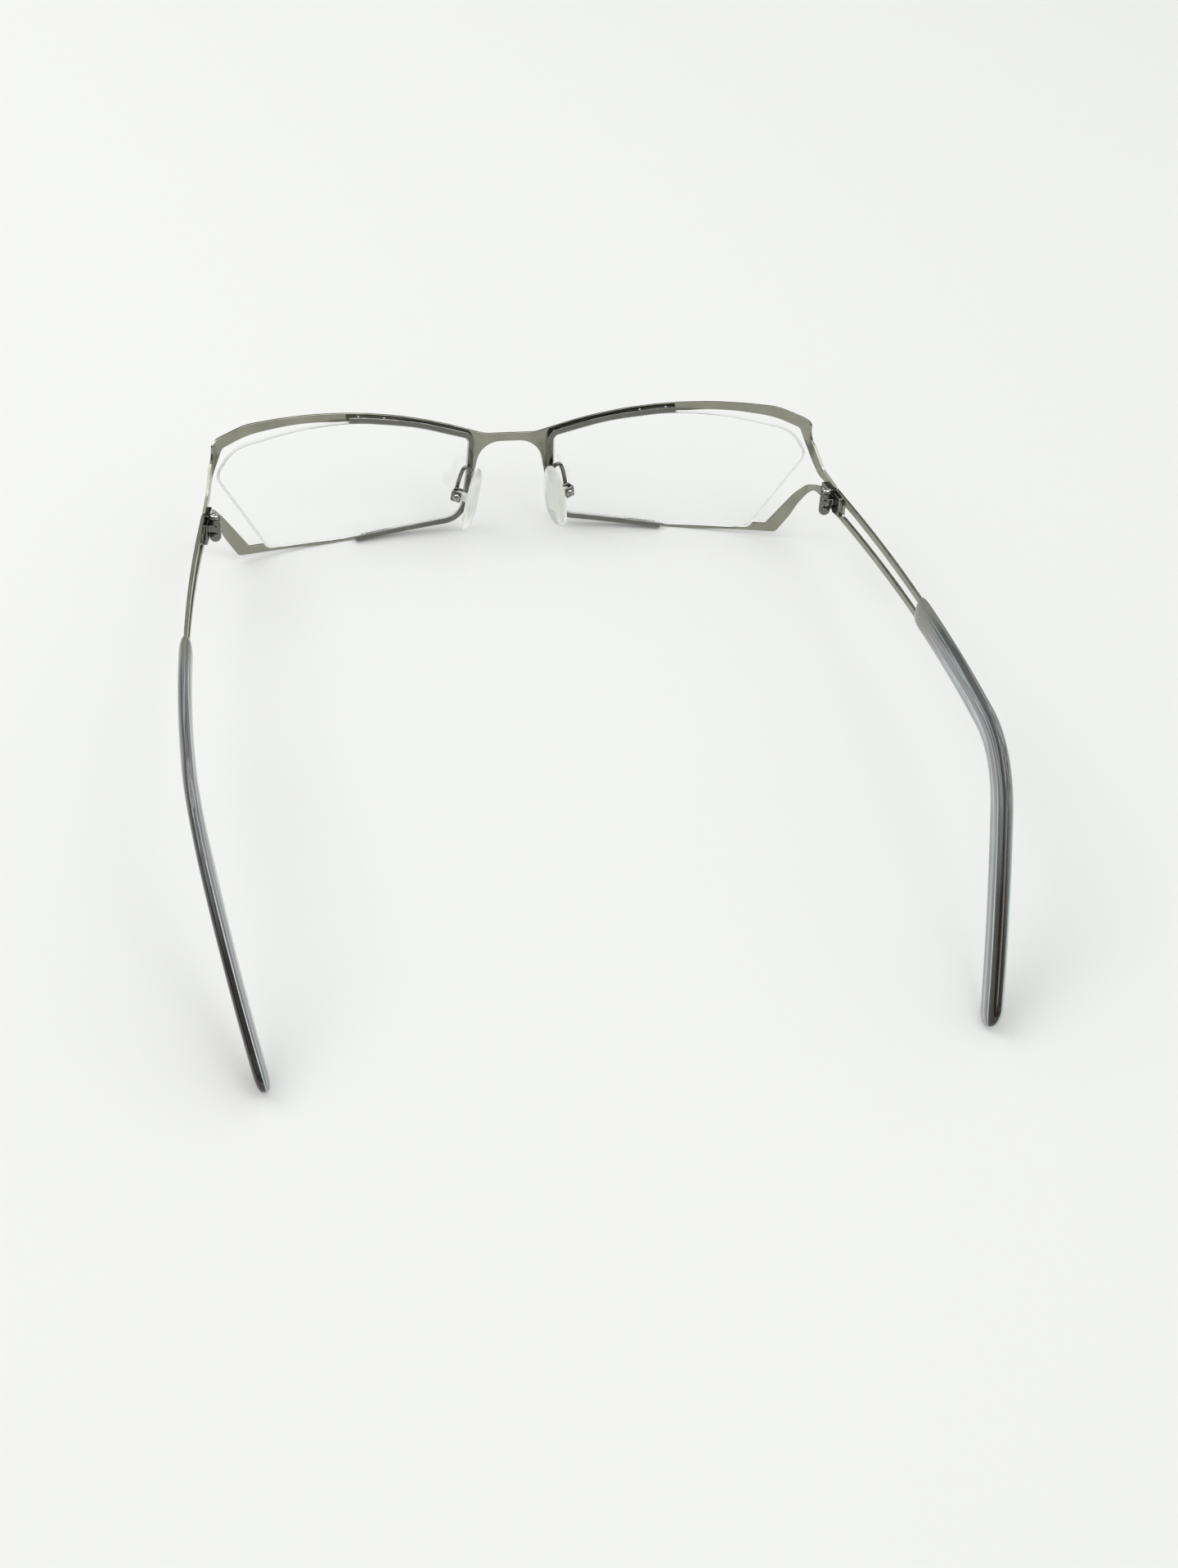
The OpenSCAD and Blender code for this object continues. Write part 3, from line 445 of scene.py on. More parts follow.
def let_lamps_through(tree, shader, colour):
    """Makes the shadow of a clear plastic as light as the plastic lets through."""
    path = add_node(tree, "ShaderNodeLightPath")
    through = add_node(tree, "ShaderNodeBsdfTransparent", {"Color": (*colour, 1.0)})
    both = add_node(tree, "ShaderNodeMixShader", {
        "Fac": path.outputs["Is Shadow Ray"], 1: shader.outputs[0], 2: through.outputs[0]})
    tree.links.new(both.outputs[0], tree.nodes["Material Output"].inputs["Surface"])


def nylon_look(name, colour, roughness, clearness, ior, cloud_scale, spread):
    """A clear moulded or drawn plastic that lets lamps through, slightly uneven in gloss and tint."""
    made, tree, shader = new_material(name, {
        "Transmission Weight": clearness, "IOR": ior, "Specular IOR Level": 0.15})
    body = add_node(tree, "ShaderNodeGroup", {
        "Colour": (*colour, 1.0), "Roughness": roughness, "Scale": cloud_scale, "Spread": spread,
    }, node_tree=clouding)
    surfaced(tree, shader, body, 0.12, 0.00004)
    let_lamps_through(tree, shader, [min(1.0, c + 0.5 * (1.0 - c)) for c in colour])
    return made


def unwrapped(p):
    """Where a point of a worn rim or lens lies in the flat."""
    return flattened(p, NO_BEND)


def wrapped(p):
    """The point of the worn rim or lens that a point of the flat comes to, and how far it turns there."""
    return bent(p, NO_BEND)


nylon = nylon_look("clear_nylon", (0.98, 0.985, 0.985), 0.35, 0.4, 1.4, 900.0, 0.03)
for hand, place in worn_to.items():
    rim = joined_copy("half_rim_" + hand, "rim_channel_" + hand)
    formed(rim, place, RIM_EDGE, 40.0, strips, unwrapped, wrapped)
    rim.data.materials.append(rim_metal)
    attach(rim, "front")
    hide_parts("half_rim_" + hand)
    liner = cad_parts["rim_liner_" + hand]
    liner.data.materials.clear()
    liner.data.materials.append(nylon)

# Lenses
# Each lens is clear plastic, cut to a pointed outer end. Its faces are polished, its edge is ground and
# left slightly frosted, with a groove all round for the thread.

LENS_EDGE = 0.1
lens_clear = nylon_look("lens_polished", (0.992, 0.996, 0.993), 0.012, 1.0, 1.5, 60.0, 0.01)
lens_ground = nylon_look("lens_ground_edge", (0.985, 0.99, 0.99), 0.6, 0.35, 1.5, 500.0, 0.02)
for hand, place in worn_to.items():
    lens = joined_copy("lens_" + hand, "eye_lens_" + hand)
    formed(lens, place, LENS_EDGE, 40.0, strips, unwrapped, wrapped)
    lens.data.materials.append(lens_clear)
    lens.data.materials.append(lens_ground)
    facing = (place.to_3x3() @ Vector((0.0, 1.0, 0.0))).normalized()
    for face in lens.data.polygons:
        if abs(face.normal.dot(facing)) < BROAD_NORMAL:
            face.material_index = 1
    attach(lens, "front")
    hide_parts("lens_" + hand)

# Nylon threads
# A clear nylon thread lies in the groove of each lens's free edge. Both its ends go through two small holes
# in the half rim and are cut off just above the metal, where they show as bright dots.

# corners of a lens as (x, z, radius), and the holes in the rim as (x, z, lean from upright)
LENS_CORNERS = [(9.6, 1.5, 25.0), (10.9, -9.1, 4.5), (37.5, -12.1, 60.0), (53.9, -11.7, 1.8),
                (64.7, 7.2, 3.2), (60.8, 12.9, 7.0), (46.2, 15.2, 60.0), (35.0, 15.5, 50.0),
                (21.0, 13.1, 60.0), (9.3, 9.5, 1.5)]
HOLES = ((33.8, 15.151, 5.035), (28.3, 14.351, 9.728), (32.4, -11.525, 173.565), (26.9, -10.905, 173.565))
THREAD_D = 0.5
THREAD_BACK = 0.7
THREAD_STEP = 0.5
THREAD_SIDES = 12
STUB_R = 0.2
STUB_UP = (0.0, 0.6, 1.14)
# where the rim ends and the free edge starts, above and below
FREE_ABOVE, FREE_BELOW, LENS_MID_Z = 28.4, 27.0, 1.7


def rounded_outline(corners, step):
    """Points along a closed outline of [x, z, radius] corners, about step apart."""
    points, count = [], len(corners)
    for i in range(count):
        a, v, b = (Vector(corners[(i + d) % count][:2]) for d in (-1, 0, 1))
        radius = corners[i][2]
        into, out_of = (v - a).normalized(), (b - v).normalized()
        turn = math.atan2(into.x * out_of.y - into.y * out_of.x, into.dot(out_of))
        start = v - into * radius * math.tan(abs(turn) / 2)
        middle = start + Vector((-into.y, into.x)) * radius * math.copysign(1.0, turn)
        parts = max(2, round(abs(turn) * radius / step))
        points += [middle + Matrix.Rotation(turn * j / parts, 2) @ (start - middle) for j in range(parts + 1)]
    return points


def circle(middle, side, other, radius, sides):
    """Points round a middle, from side towards other."""
    turns = [math.tau * j / sides for j in range(sides)]
    return [middle + radius * (side * math.cos(a) + other * math.sin(a)) for a in turns]


def swept(name, rings, grain=()):
    """A closed tube through rings of equal length, each extruded from the one before.

    Grain, if given, is a value for each point of each ring, kept as an attribute of that name.
    """
    bpy.ops.object.select_all(action="DESELECT")
    bpy.ops.mesh.primitive_circle_add(vertices=len(rings[0]), radius=0.001, fill_type="NGON")
    piece = bpy.context.object
    piece.name = name
    bpy.ops.object.mode_set(mode="EDIT")
    bm = bmesh.from_edit_mesh(piece.data)
    bm.verts.index_update()
    rows = [[v.index for v in bm.faces[:][0].verts]]
    for ring in rings[1:]:
        bpy.ops.mesh.extrude_region_move()
        bm = bmesh.from_edit_mesh(piece.data)
        bm.verts.index_update()
        bm.verts.ensure_lookup_table()
        row = []
        for i in rows[-1]:
            v = bm.verts[i]
            row.append(next(e.other_vert(v).index for e in v.link_edges if e.other_vert(v).select))
        rows.append(row)
    bm.verts.ensure_lookup_table()
    for row, ring in zip(rows, rings):
        for i, p in zip(row, ring):
            bm.verts[i].co = p
    bmesh.update_edit_mesh(piece.data)
    bpy.ops.mesh.select_all(action="SELECT")
    bpy.ops.mesh.normals_make_consistent(inside=False)
    bpy.ops.object.mode_set(mode="OBJECT")
    piece.select_set(False)
    if grain:
        kept = piece.data.attributes.new("grain", "FLOAT_VECTOR", "POINT")
        for row, values in zip(rows, grain):
            for i, value in zip(row, values):
                kept.data[i].vector = value
    return piece


def wire_rings(points, radius, sides, round_ends):
    """Rings of a round wire through points, with domed ends if asked."""
    points = [Vector(p) for p in points]
    last = len(points) - 1
    dome = [math.radians(a) for a in (12, 35, 60, 90)]
    rings, side = [], None
    for i, p in enumerate(points):
        along = (points[min(i + 1, last)] - points[max(i - 1, 0)]).normalized()
        side = (side if side else along.orthogonal()).cross(along).normalized()
        side = along.cross(side)
        stations = [(0.0, 1.0)]
        if round_ends and i == 0:
            stations = [(-math.cos(a), math.sin(a)) for a in dome]
        if round_ends and i == last:
            stations = [(math.cos(a), math.sin(a)) for a in reversed(dome)]
        for forth, share in stations:
            rings.append(circle(p + radius * forth * along, side, along.cross(side), radius * share, sides))
    return rings


def joined(parts, whole):
    """Joins the parts to the whole, each as a closed shell of its own."""
    bpy.ops.object.select_all(action="DESELECT")
    for part in (*parts, whole):
        part.select_set(True)
    bpy.context.view_layer.objects.active = whole
    bpy.ops.object.join()


def on_wrap(x, z, back):
    """The point of the front at x and z, back behind the sheet's back face, as worn."""
    return Vector((x, WRAP_R - math.sqrt((WRAP_R - back) ** 2 - x * x), z))


outline = rounded_outline(LENS_CORNERS, THREAD_STEP)
free = [p for p in outline if p.x > (FREE_BELOW if p.y < LENS_MID_Z else FREE_ABOVE)]
for hand, place in worn_to.items():
    line = [place @ on_wrap(p.x, p.y, THREAD_BACK) for p in free]
    thread = swept("nylon_thread_" + hand, wire_rings(line, THREAD_D / 2 * MM, THREAD_SIDES, True))
    stubs = []
    for x, z, lean in HOLES:
        up = Vector((-math.sin(math.radians(lean)), 0.0, math.cos(math.radians(lean))))
        foot = on_wrap(x, z, THREAD_BACK)
        line = [place @ (foot + up * h) for h in STUB_UP]
        stubs.append(swept("nylon_stub", wire_rings(line, STUB_R * MM, THREAD_SIDES, True)))
    joined(stubs, thread)
    finished(thread, 60)
    thread.data.materials.append(nylon)
    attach(thread, "front")
    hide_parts("lens_cord_" + hand)

# Pad arms, boxes and screws
# A bent wire is soldered to the back of each rim at the nose and to the front cheek of a small folded box.
# A screw with a slotted round head goes through the box and the lug of the pad.

WIRE_D = 0.9
WIRE_SIDES = 16
NOSE_X = 9.5
PAD_REACH = 3.1
BOX_W = 2.3
BOX_H = 2.4
BOX_EDGE = 0.3
# the flow of solder at the rim and along the box, as distances along the wire and radii
RIM_SOLDER = ((0.0, 0.78), (0.12, 0.68), (0.28, 0.54), (0.45, 0.47))
BOX_SOLDER = ((-1.0, 0.46), (-0.8, 0.5), (-0.4, 0.53), (0.2, 0.53), (0.6, 0.5), (0.8, 0.46))
pad_place = (Matrix.Translation((9.3, 6.6, -2.6)) @ Matrix.Rotation(math.radians(-25.0), 4, "Z")
             @ Matrix.Rotation(math.radians(-9.6), 4, "Y") @ Matrix.Scale(-1.0, 4, (1.0, 0.0, 0.0)))
wire_x, wire_y = -PAD_REACH - 0.9, -BOX_W / 2 - WIRE_D / 2 - 0.005
wire_start = Vector((NOSE_X - 0.55, 1.6, 1.6))
wire_points = [wire_start, wire_start + Vector((0.05, 1.1, 0.3)), (NOSE_X + 0.25, 3.5, 3.4),
               (NOSE_X + 1.1, 3.9, 3.7), (NOSE_X + 1.8, 3.8, 2.3)]
wire_points += [pad_place @ Vector((wire_x, wire_y, z)) for z in (BOX_H / 2 + 0.5, 0.3, -BOX_H / 3)]
screw_steel = plated("screw_steel", (0.42, 0.41, 0.385), (0.75, 0.74, 0.71), 0.12, 0.7,
                     (1200.0, 1200.0, 1200.0), 0.05)


def level_copy(node, name):
    """A joined copy of a solid in which each flat face is one face."""
    piece = joined_copy(node, name)
    bm = bmesh.new()
    bm.from_mesh(piece.data)
    bmesh.ops.dissolve_limit(bm, angle_limit=math.radians(0.06), verts=bm.verts, edges=bm.edges)
    bm.to_mesh(piece.data)
    bm.free()
    return piece


def smooth_line(points, parts):
    """A smooth curve through points, with that many parts to each stretch."""
    points, line = [Vector(p) for p in points], []
    for i in range(len(points) - 1):
        a, b, c, d = (points[min(max(i + j, 0), len(points) - 1)] for j in (-1, 0, 1, 2))
        for j in range(parts):
            t = j / parts
            line.append(0.5 * (2 * b + (c - a) * t + (2 * a - 5 * b + 4 * c - d) * t * t
                               + (3 * b - a - 3 * c + d) * t ** 3))
    return line + [points[-1]]


def bead(middle, along, profile):
    """A bead of solder round a wire, of (distance along, radius) steps."""
    side = along.orthogonal().normalized()
    return swept("solder", [circle(middle + along * h * MM, side, along.cross(side), r * MM, WIRE_SIDES)
                            for h, r in profile])


def bolt(name, place, head_r, head_h, shank_r, shank_l, slot_w, dome):
    """A slotted screw along z: its head's seat is at z = 0 and its shank goes down from there."""
    profile = [(shank_r * 0.75, -shank_l), (shank_r, -shank_l + shank_r * 0.25), (shank_r, -0.001),
               (head_r * 0.94, 0.0), (head_r, head_h * 0.12)]
    profile += [(head_r * math.cos(a) ** dome, head_h * (0.3 + 0.7 * math.sin(a)))
                for a in [math.radians(d) for d in (0, 14, 28, 42, 56, 68, 78)]]
    side, other = Vector((1.0, 0.0, 0.0)), Vector((0.0, 1.0, 0.0))
    piece = swept(name, [circle(Vector((0.0, 0.0, z)), side, other, r, 32) for r, z in profile])
    bpy.ops.object.select_all(action="DESELECT")
    bpy.ops.mesh.primitive_cube_add(size=1.0, location=(0.0, 0.0, head_h * 1.05))
    slot = bpy.context.object
    slot.scale = (3.0 * head_r, slot_w, head_h * 0.9)
    bpy.ops.object.transform_apply(location=True, scale=True)
    cut = piece.modifiers.new("slot", "BOOLEAN")
    cut.object = slot
    cut.solver = "EXACT"
    bpy.ops.object.select_all(action="DESELECT")
    piece.select_set(True)
    bpy.context.view_layer.objects.active = piece
    bpy.ops.object.modifier_apply(modifier=cut.name)
    bpy.data.objects.remove(slot)
    piece.data.transform(place)
    if place.determinant() < 0:
        piece.data.flip_normals()
    finished(piece, 40, 0.03, 1, 50)
    piece.data.materials.clear()
    piece.data.materials.append(screw_steel)
    return piece


for hand, place in worn_to.items():
    line = [place @ p for p in smooth_line(wire_points, 7)]
    pad_wire = swept("pad_wire_" + hand, wire_rings(line, WIRE_D / 2 * MM, WIRE_SIDES, False))
    joined([bead(line[0], (line[1] - line[0]).normalized(), RIM_SOLDER),
            bead(line[-4], (line[-1] - line[-5]).normalized(), BOX_SOLDER)], pad_wire)
    finished(pad_wire, 45)
    pad_wire.data.materials.append(rim_metal)
    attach(pad_wire, "front")
    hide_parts("pad_arm_" + hand)

    holder = level_copy("pad_box_" + hand, "pad_holder_" + hand)
    finished(holder, 35, BOX_EDGE, 4, 30)
    holder.data.materials.append(rim_metal)
    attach(holder, "front")
    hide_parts("pad_box_" + hand)

    head_at = (place @ pad_place @ Matrix.Translation((-PAD_REACH, BOX_W / 2, 0.0))
               @ Matrix.Rotation(math.radians(-90.0), 4, "X") @ Matrix.Rotation(math.radians(25.0), 4, "Z"))
    pad_bolt = bolt("pad_bolt_" + hand, head_at, 0.82, 0.72, 0.4, BOX_W + 0.1, 0.26, 0.6)
    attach(pad_bolt, "front")
    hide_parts("pad_screw_" + hand)

# Nose pads
# Soft clear silicone, moulded round a harder plate whose lug stands out of the back into the box. The pad is
# blunt above, wider below, crowned towards the nose and flatter behind.

PAD_H = 15.0
PAD_W = 7.6
PAD_T = 2.5
PAD_TAPER = 0.1
PAD_FLAT_BACK = 0.75
PAD_ROWS, PAD_SIDES = 28, 40
# the first and last rows stop short of the ends by this angle and share, where the pad is closed
PAD_END_A, PAD_END_SHARE = 4.0, 0.9976
SEAT_DEEP, SEAT_HALF_W, SEAT_HALF_H = 0.22, 1.5, 1.9
LUG_EDGE = 0.16
silicone = nylon_look("clear_silicone", (0.985, 0.99, 0.98), 0.22, 0.74, 1.41, 260.0, 0.04)
lug_plastic = nylon_look("pad_lug_plastic", (0.86, 0.88, 0.81), 0.2, 0.4, 1.5, 500.0, 0.08)


def pad_ring(f):
    """Points round a nose pad, f of its half height above its middle, in the pad's own frame."""
    half = max(PAD_W / 2 * math.sqrt(max(1 - abs(f) ** 2.6, 0.0)) * (1 - PAD_TAPER * f), 0.12)
    thick = PAD_T / 2 * math.sqrt(max(1 - abs(f) ** 4, 0.012))
    ring = []
    for j in range(PAD_SIDES):
        a = math.tau * j / PAD_SIDES
        x = (1.0 if math.cos(a) > 0 else PAD_FLAT_BACK) * thick * math.cos(a)
        y, z = half * math.sin(a), f * PAD_H / 2
        # a shallow seat behind, round the lug
        if math.cos(a) < 0:
            x -= SEAT_DEEP * math.exp(-((y / SEAT_HALF_W) ** 2 + (z / SEAT_HALF_H) ** 2) ** 2)
        ring.append(Vector((x, y, z)))
    return ring


for hand, place in worn_to.items():
    rings = []
    for k in range(PAD_ROWS + 1):
        turn = math.radians(PAD_END_A + (180.0 - 2 * PAD_END_A) * k / PAD_ROWS)
        rings.append([place @ pad_place @ p for p in pad_ring(-math.cos(turn) * PAD_END_SHARE)])
    pad = swept("silicone_pad_" + hand, rings)
    finished(pad, 70)
    pad.data.materials.append(silicone)
    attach(pad, "nose_pad_" + hand)
    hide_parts("nose_pad_" + hand)

    lug = level_copy("pad_insert_" + hand, "pad_lug_" + hand)
    finished(lug, 35, LUG_EDGE, 3, 30)
    lug.data.materials.append(lug_plastic)
    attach(lug, "nose_pad_" + hand)
    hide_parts("pad_insert_" + hand)

# Hinges
# Each hinge has two outer knuckles on a leaf soldered to the front's arm, and a middle knuckle on a leaf
# soldered to the temple. A slotted screw goes in from above and its end is rounded over below.

PIN_X, PIN_Y, PIN_Z = 65.7718, 23.8, 2.3
STACK_H = 4.45
LEAF_EDGE = 0.1
pin_place = Matrix.Translation((PIN_X, PIN_Y, 0.0)) @ Matrix.Rotation(math.radians(-SPLAY), 4, "Z")
for hand, place in worn_to.items():
    for node, name, body in (("hinge_front_leaf_", "hinge_knuckles_", "front"),
                             ("hinge_temple_leaf_", "temple_knuckle_", "temple_" + hand)):
        leaf = level_copy(node + hand, name + hand)
        finished(leaf, 35, LEAF_EDGE, 2, 40)
        leaf.data.materials.append(rim_metal)
        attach(leaf, body)
        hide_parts(node + hand)
    head_at = (place @ pin_place @ Matrix.Translation((0.0, 0.0, PIN_Z + STACK_H / 2))
               @ Matrix.Rotation(math.radians(38.0), 4, "Z"))
    pin = bolt("hinge_bolt_" + hand, head_at, 1.0, 0.5, 0.6, 4.4, 0.35, 0.35)
    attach(pin, "front")
    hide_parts("hinge_screw_" + hand)

# Temples
# Each temple is cut from flat plated metal: two thin bars side by side, joined at the hinge and at the tip,
# and bowed slightly inwards. Behind it a single core wire runs on through the tip.

TEMPLE_T = 0.75
BOW_START, BOW_R, TAIL_BOW_R = 5.5, 409.0, 521.0
EAR_L, EAR_R, EAR_A, TAIL_L = 79.5, 29.8, 41.0, 40.5
EAR_TURN, TIP_ROLL = 7.7, 16.0
BARS_EDGE = 0.12
EAR_LEN = EAR_R * math.radians(EAR_A)
TEMPLE_L = EAR_L + EAR_LEN + TAIL_L
PATH_STEP = 0.5
CORE_START, CORE_SHORT, CORE_HALF_H, CORE_CORNER, CORE_STEPS = 47.8, 7.0, 1.0, 0.16, 60
temple_place = (pin_place @ Matrix.Translation((1.9 + TEMPLE_T / 2, 0.0, PIN_Z))
                @ Matrix.Rotation(math.radians(-5.9), 4, "X"))
core_metal = plated("core_wire", (0.36, 0.35, 0.32), (0.5, 0.5, 0.47), 0.28, 0.3,
                    (700.0, 700.0, 2500.0), 0.1)


def in_bend(s):
    """The share of the ear bend that lies before the distance s from the hinge."""
    return min(max(s - EAR_L, 0.0), EAR_LEN) / EAR_LEN


def directions(s):
    """Along the temple, and inwards, at the distance s, as (along, inwards, down)."""
    turn = (max(min(s, EAR_L + EAR_LEN) - BOW_START, 0.0) / BOW_R + max(s - EAR_L - EAR_LEN, 0.0) / TAIL_BOW_R
            + math.radians(EAR_TURN) * in_bend(s))
    dip, roll = math.radians(EAR_A) * in_bend(s), -math.radians(TIP_ROLL) * in_bend(s)
    along = Vector((math.cos(dip) * math.cos(turn), math.cos(dip) * math.sin(turn), math.sin(dip)))
    level = Vector((-math.sin(turn), math.cos(turn), 0.0))
    return along, level * math.cos(roll) + along.cross(level) * math.sin(roll)


temple_line = [Vector((0.0, 0.0, 0.0))]
while len(temple_line) * PATH_STEP < TEMPLE_L + 2 * PATH_STEP:
    temple_line.append(temple_line[-1] + PATH_STEP * directions((len(temple_line) - 0.5) * PATH_STEP)[0])


def section(s, points):
    """Points (outwards, up) of a section at the distance s along the temple, in the temple's own frame."""
    k = min(int(s / PATH_STEP), len(temple_line) - 2)
    middle = temple_line[k].lerp(temple_line[k + 1], s / PATH_STEP - k)
    along, inwards = directions(s)
    down = along.cross(inwards)
    ring = []
    for x, z in points:
        p = middle - inwards * x - down * z
        ring.append(Vector((-p.y, p.x, -p.z)))
    return ring


def temple_flattened(p):
    """Where a point of the bowed temple lies in its flat strip: (along, back from its middle, up)."""
    along, deep = p.x, -p.y
    if along > BOW_START:
        x, y = p.x - BOW_START, BOW_R - p.y
        along, deep = BOW_START + BOW_R * math.atan2(x, y), math.hypot(x, y) - BOW_R
    for face in (-TEMPLE_T / 2, TEMPLE_T / 2):
        if abs(deep - face) < STRAY:
            deep = face
    return Vector((along, -deep, p.z))


def temple_bowed(p):
    """The point of the bowed temple that a point of the flat strip comes to, and how far it turns there."""
    turn = max(p.x - BOW_START, 0.0) / BOW_R
    radius = BOW_R - p.y
    return Vector((min(p.x, BOW_START) + radius * math.sin(turn), BOW_R - radius * math.cos(turn), p.z)), turn


for hand, place in worn_to.items():
    bars = joined_copy("temple_" + hand, "temple_bars_" + hand)
    lengthwise = place @ temple_place @ Matrix.Rotation(math.radians(90.0), 4, "Z")
    formed(bars, lengthwise, BARS_EDGE, 40.0, [BOW_START + 2.0 * i for i in range(22)],
           temple_flattened, temple_bowed)
    bars.data.materials.append(sheet_metal)
    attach(bars, "temple_" + hand)
    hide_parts("temple_" + hand)

    rings = []
    for k in range(CORE_STEPS + 1):
        f = k / CORE_STEPS
        w, h, c = TEMPLE_T / 2 * (1 - 0.2 * f), CORE_HALF_H - 0.25 * f, CORE_CORNER
        if k == CORE_STEPS:
            w, h = w * 0.7, h * 0.85
        corners = [(w, c - h), (w, h - c), (w - c, h), (c - w, h),
                   (-w, h - c), (-w, c - h), (c - w, -h), (w - c, -h)]
        s = CORE_START + f * (TEMPLE_L - CORE_SHORT - CORE_START)
        rings.append([place @ temple_place @ p for p in section(s, corners)])
    core = swept("tip_wire_" + hand, rings)
    finished(core, 50)
    core.data.materials.append(core_metal)
    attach(core, "temple_" + hand)
    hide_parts("temple_core_" + hand)

# Temple tips
# See-through smoky plastic, cut from streaked sheet, pushed hot over the core and polished. The streaks run
# along the tip and follow its bend.

TIP_START, TIP_W, TIP_H, TIP_END_H = 42.8, 2.7, 6.3, 6.9
TIP_SIDES, TIP_STEPS, END_STEPS = 40, 70, 10
# the front end is tapered over this length, in steps of (distance, share of width, share of height)
TAPER_L = 2.4
TAPER = ((0.0, 0.62, 0.93), (0.25, 0.74, 0.965), (0.8, 0.84, 0.985), (1.6, 0.95, 0.995), (TAPER_L, 1.0, 1.0))
OLIVE = (0.30, 0.31, 0.265, 1.0)
SMOKE_SHADOW = (0.35, 0.37, 0.38)
# the bands across the sheet that the front and the rear part of a tip are cut from; the rear bands end in a
# painted highlight, a pale blue-white line along the top outer edge
FRONT_BANDS = (
    (0.0, (0.28, 0.29, 0.30)), (0.12, (0.54, 0.57, 0.59)), (0.22, (0.28, 0.28, 0.29)),
    (0.31, (0.72, 0.80, 0.83)), (0.37, (0.24, 0.24, 0.26)), (0.46, (0.42, 0.38, 0.42)),
    (0.52, (0.09, 0.09, 0.10)), (0.58, (0.48, 0.55, 0.57)), (0.64, (0.09, 0.09, 0.10)),
    (0.74, (0.16, 0.17, 0.17)), (0.82, (0.07, 0.07, 0.07)), (0.90, (0.36, 0.39, 0.37)),
    (1.0, (0.22, 0.23, 0.21)))
REAR_BANDS_AND_EDGE_HIGHLIGHT = (
    (0.0, (0.34, 0.35, 0.36)), (0.10, (0.68, 0.72, 0.74)), (0.18, (0.30, 0.30, 0.31)),
    (0.27, (0.62, 0.66, 0.67)), (0.34, (0.32, 0.29, 0.33)), (0.405, (0.30, 0.30, 0.30)),
    (0.435, (0.70, 0.95, 0.94)), (0.465, (0.045, 0.03, 0.025)), (0.70, (0.010, 0.008, 0.008)),
    # painted highlight: the stops from 0.915 on are light caught along the top outer edge, not a streak
    (0.84, (0.05, 0.028, 0.018)), (0.885, (0.03, 0.03, 0.03)), (0.915, (0.66, 0.85, 0.85)),
    (1.0, (0.5, 0.55, 0.55)))
# how far up and outwards count in the order of the bands round a tip, which also sets where the painted
# highlight of the rear bands falls: the two tips are cut differently
band_order = {"left": (0.35, 1.15, 1.32), "right": (1.0, 0.6, 1.6)}


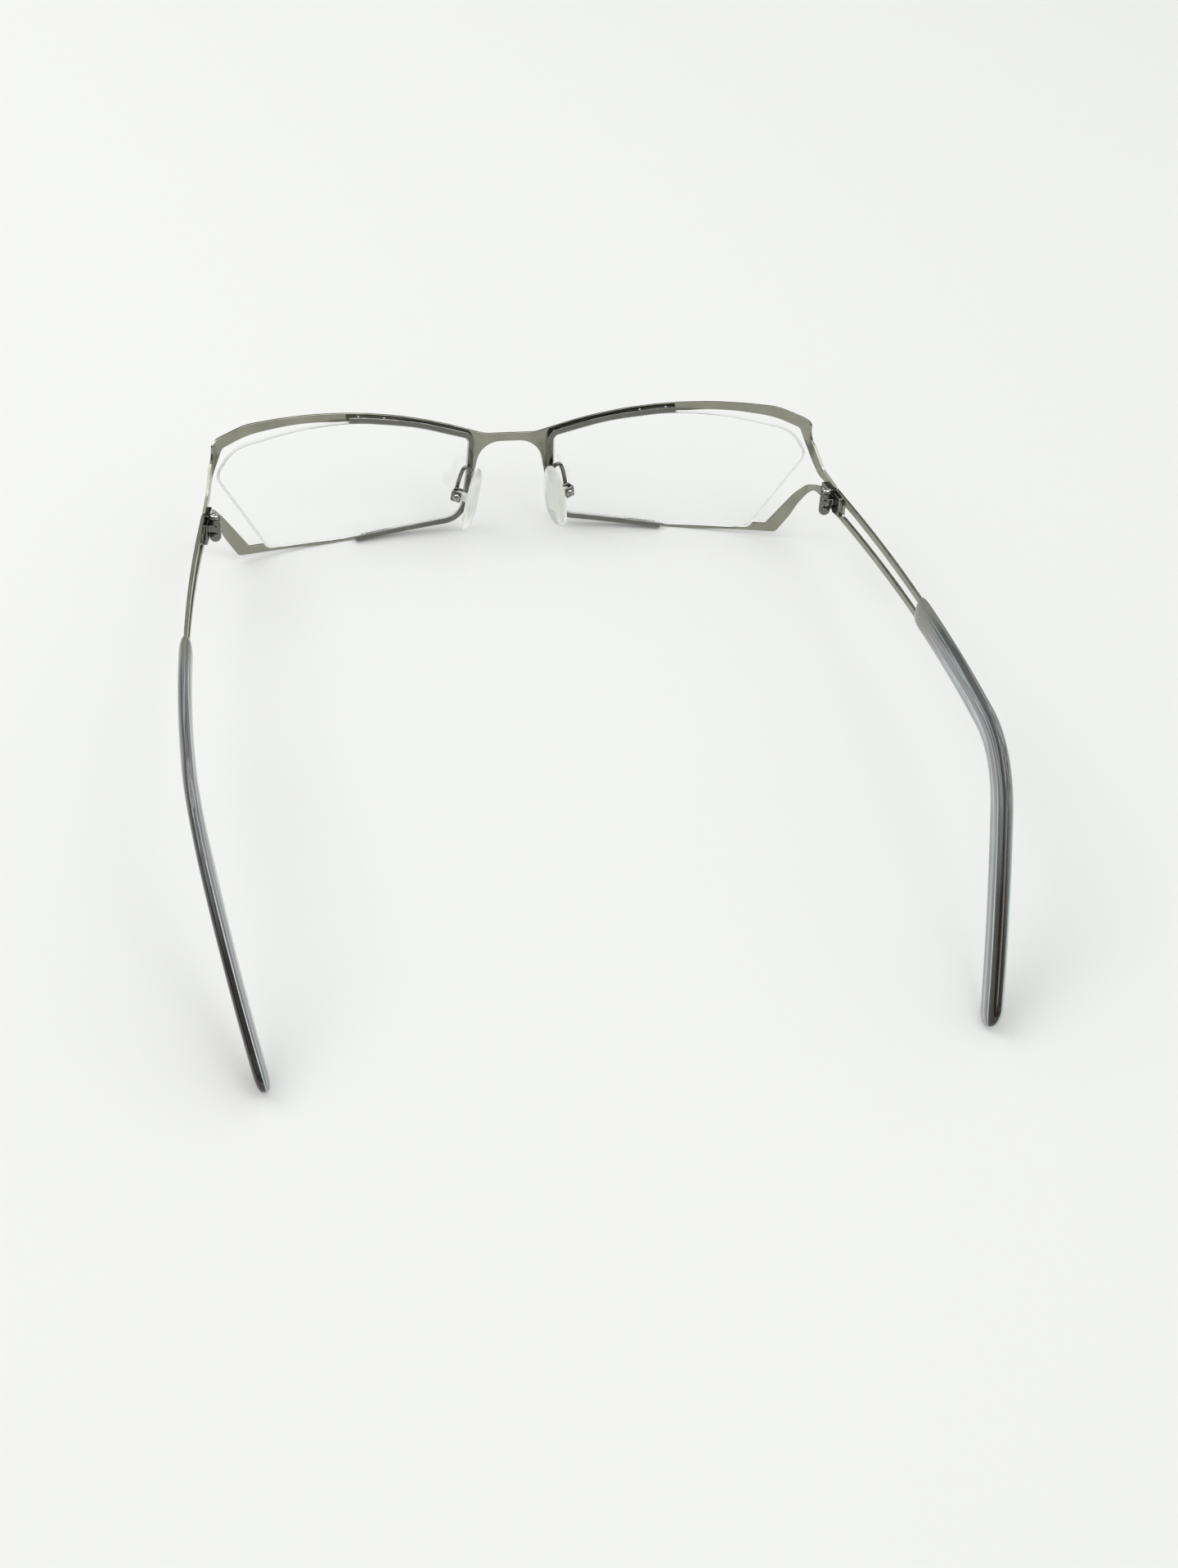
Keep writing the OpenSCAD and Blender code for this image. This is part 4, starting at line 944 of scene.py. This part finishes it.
def smoke_look():
    """Smoky streaked plastic: grey, with blue-green and brown streaks that follow the tip's length, and a
    painted highlight along the top outer edge of the rear part.
    """
    made, tree, shader = new_material("smoky_tip", {"Transmission Weight": 0.35, "IOR": 1.52})
    # grain: (the place among the bands, up as a share of the section, the distance from the hinge)
    grain = add_node(tree, "ShaderNodeAttribute", attribute_name="grain").outputs["Vector"]
    drawn = add_node(tree, "ShaderNodeVectorMath", {0: grain, 1: (9.0, 1.0, 0.03)}, operation="MULTIPLY")
    streaks = add_node(tree, "ShaderNodeTexNoise", {"Vector": drawn.outputs[0], "Scale": 1.0, "Detail": 4.0})
    parts = add_node(tree, "ShaderNodeSeparateXYZ", {0: grain}).outputs
    banded = []
    for wander, bands in ((0.42, FRONT_BANDS), (0.12, REAR_BANDS_AND_EDGE_HIGHLIGHT)):
        centred = reckoned(tree, "SUBTRACT", parts["X"], wander / 2)
        across = reckoned(tree, "MULTIPLY_ADD", streaks.outputs["Fac"], wander, centred)
        banded.append(ramped(tree, across, bands))
    streaked = add_node(tree, "ShaderNodeMix", {
        "Factor": rescaled(tree, parts["Z"], 80.0, 118.0), "A": banded[0], "B": banded[1]}, data_type="RGBA")
    # where the plastic starts, the metal inside shows through
    covered = rescaled(tree, parts["Z"], TIP_START + 5.0, TIP_START + 13.0)
    fronted = add_node(tree, "ShaderNodeMix", {
        "Factor": covered, "A": OLIVE, "B": streaked.outputs["Result"]}, data_type="RGBA")
    body = add_node(tree, "ShaderNodeGroup", {
        "Colour": fronted.outputs["Result"], "Roughness": 0.06, "Scale": 200.0, "Spread": 0.2,
    }, node_tree=clouding)
    surfaced(tree, shader, body, 0.08, 0.00005)
    let_lamps_through(tree, shader, SMOKE_SHADOW)
    return made


smoke = smoke_look()
tip_end = TEMPLE_L - TIP_END_H / 2
stations = [(TIP_START + on, wide, tall) for on, wide, tall in TAPER]
body_start = TIP_START + TAPER_L
stations += [(body_start + (k + 1) * (tip_end - body_start) / TIP_STEPS, 1.0, 1.0) for k in range(TIP_STEPS)]
for k in range(1, END_STEPS + 1):
    a = math.radians(86.0 * k / END_STEPS)
    stations.append((tip_end + math.sin(a) * TIP_END_H / 2, math.cos(a) ** 0.6, math.cos(a)))
for hand, place in worn_to.items():
    rings, grains = [], []
    by_up, by_out, start = band_order[hand]
    for s, wide, tall in stations:
        w = TIP_W / 2 * wide
        h = (TIP_H + (TIP_END_H - TIP_H) * (min(s, tip_end) - TIP_START) / (TEMPLE_L - TIP_START)) / 2 * tall
        points = []
        for j in range(TIP_SIDES):
            a = math.tau * (j + 0.5) / TIP_SIDES
            points.append((math.copysign(abs(math.cos(a)) ** 0.8, math.cos(a)) * w,
                           math.copysign(abs(math.sin(a)) ** 0.8, math.sin(a)) * h))
        rings.append([place @ temple_place @ p for p in section(s, points)])
        grains.append([((by_up * z / h + by_out * x / w + start) / 3.0, z / h, s) for x, z in points])
    sleeve = swept("tip_sleeve_" + hand, rings, grains)
    finished(sleeve, 60)
    sleeve.data.materials.append(smoke)
    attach(sleeve, "temple_" + hand)
    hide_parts("temple_tip_" + hand)
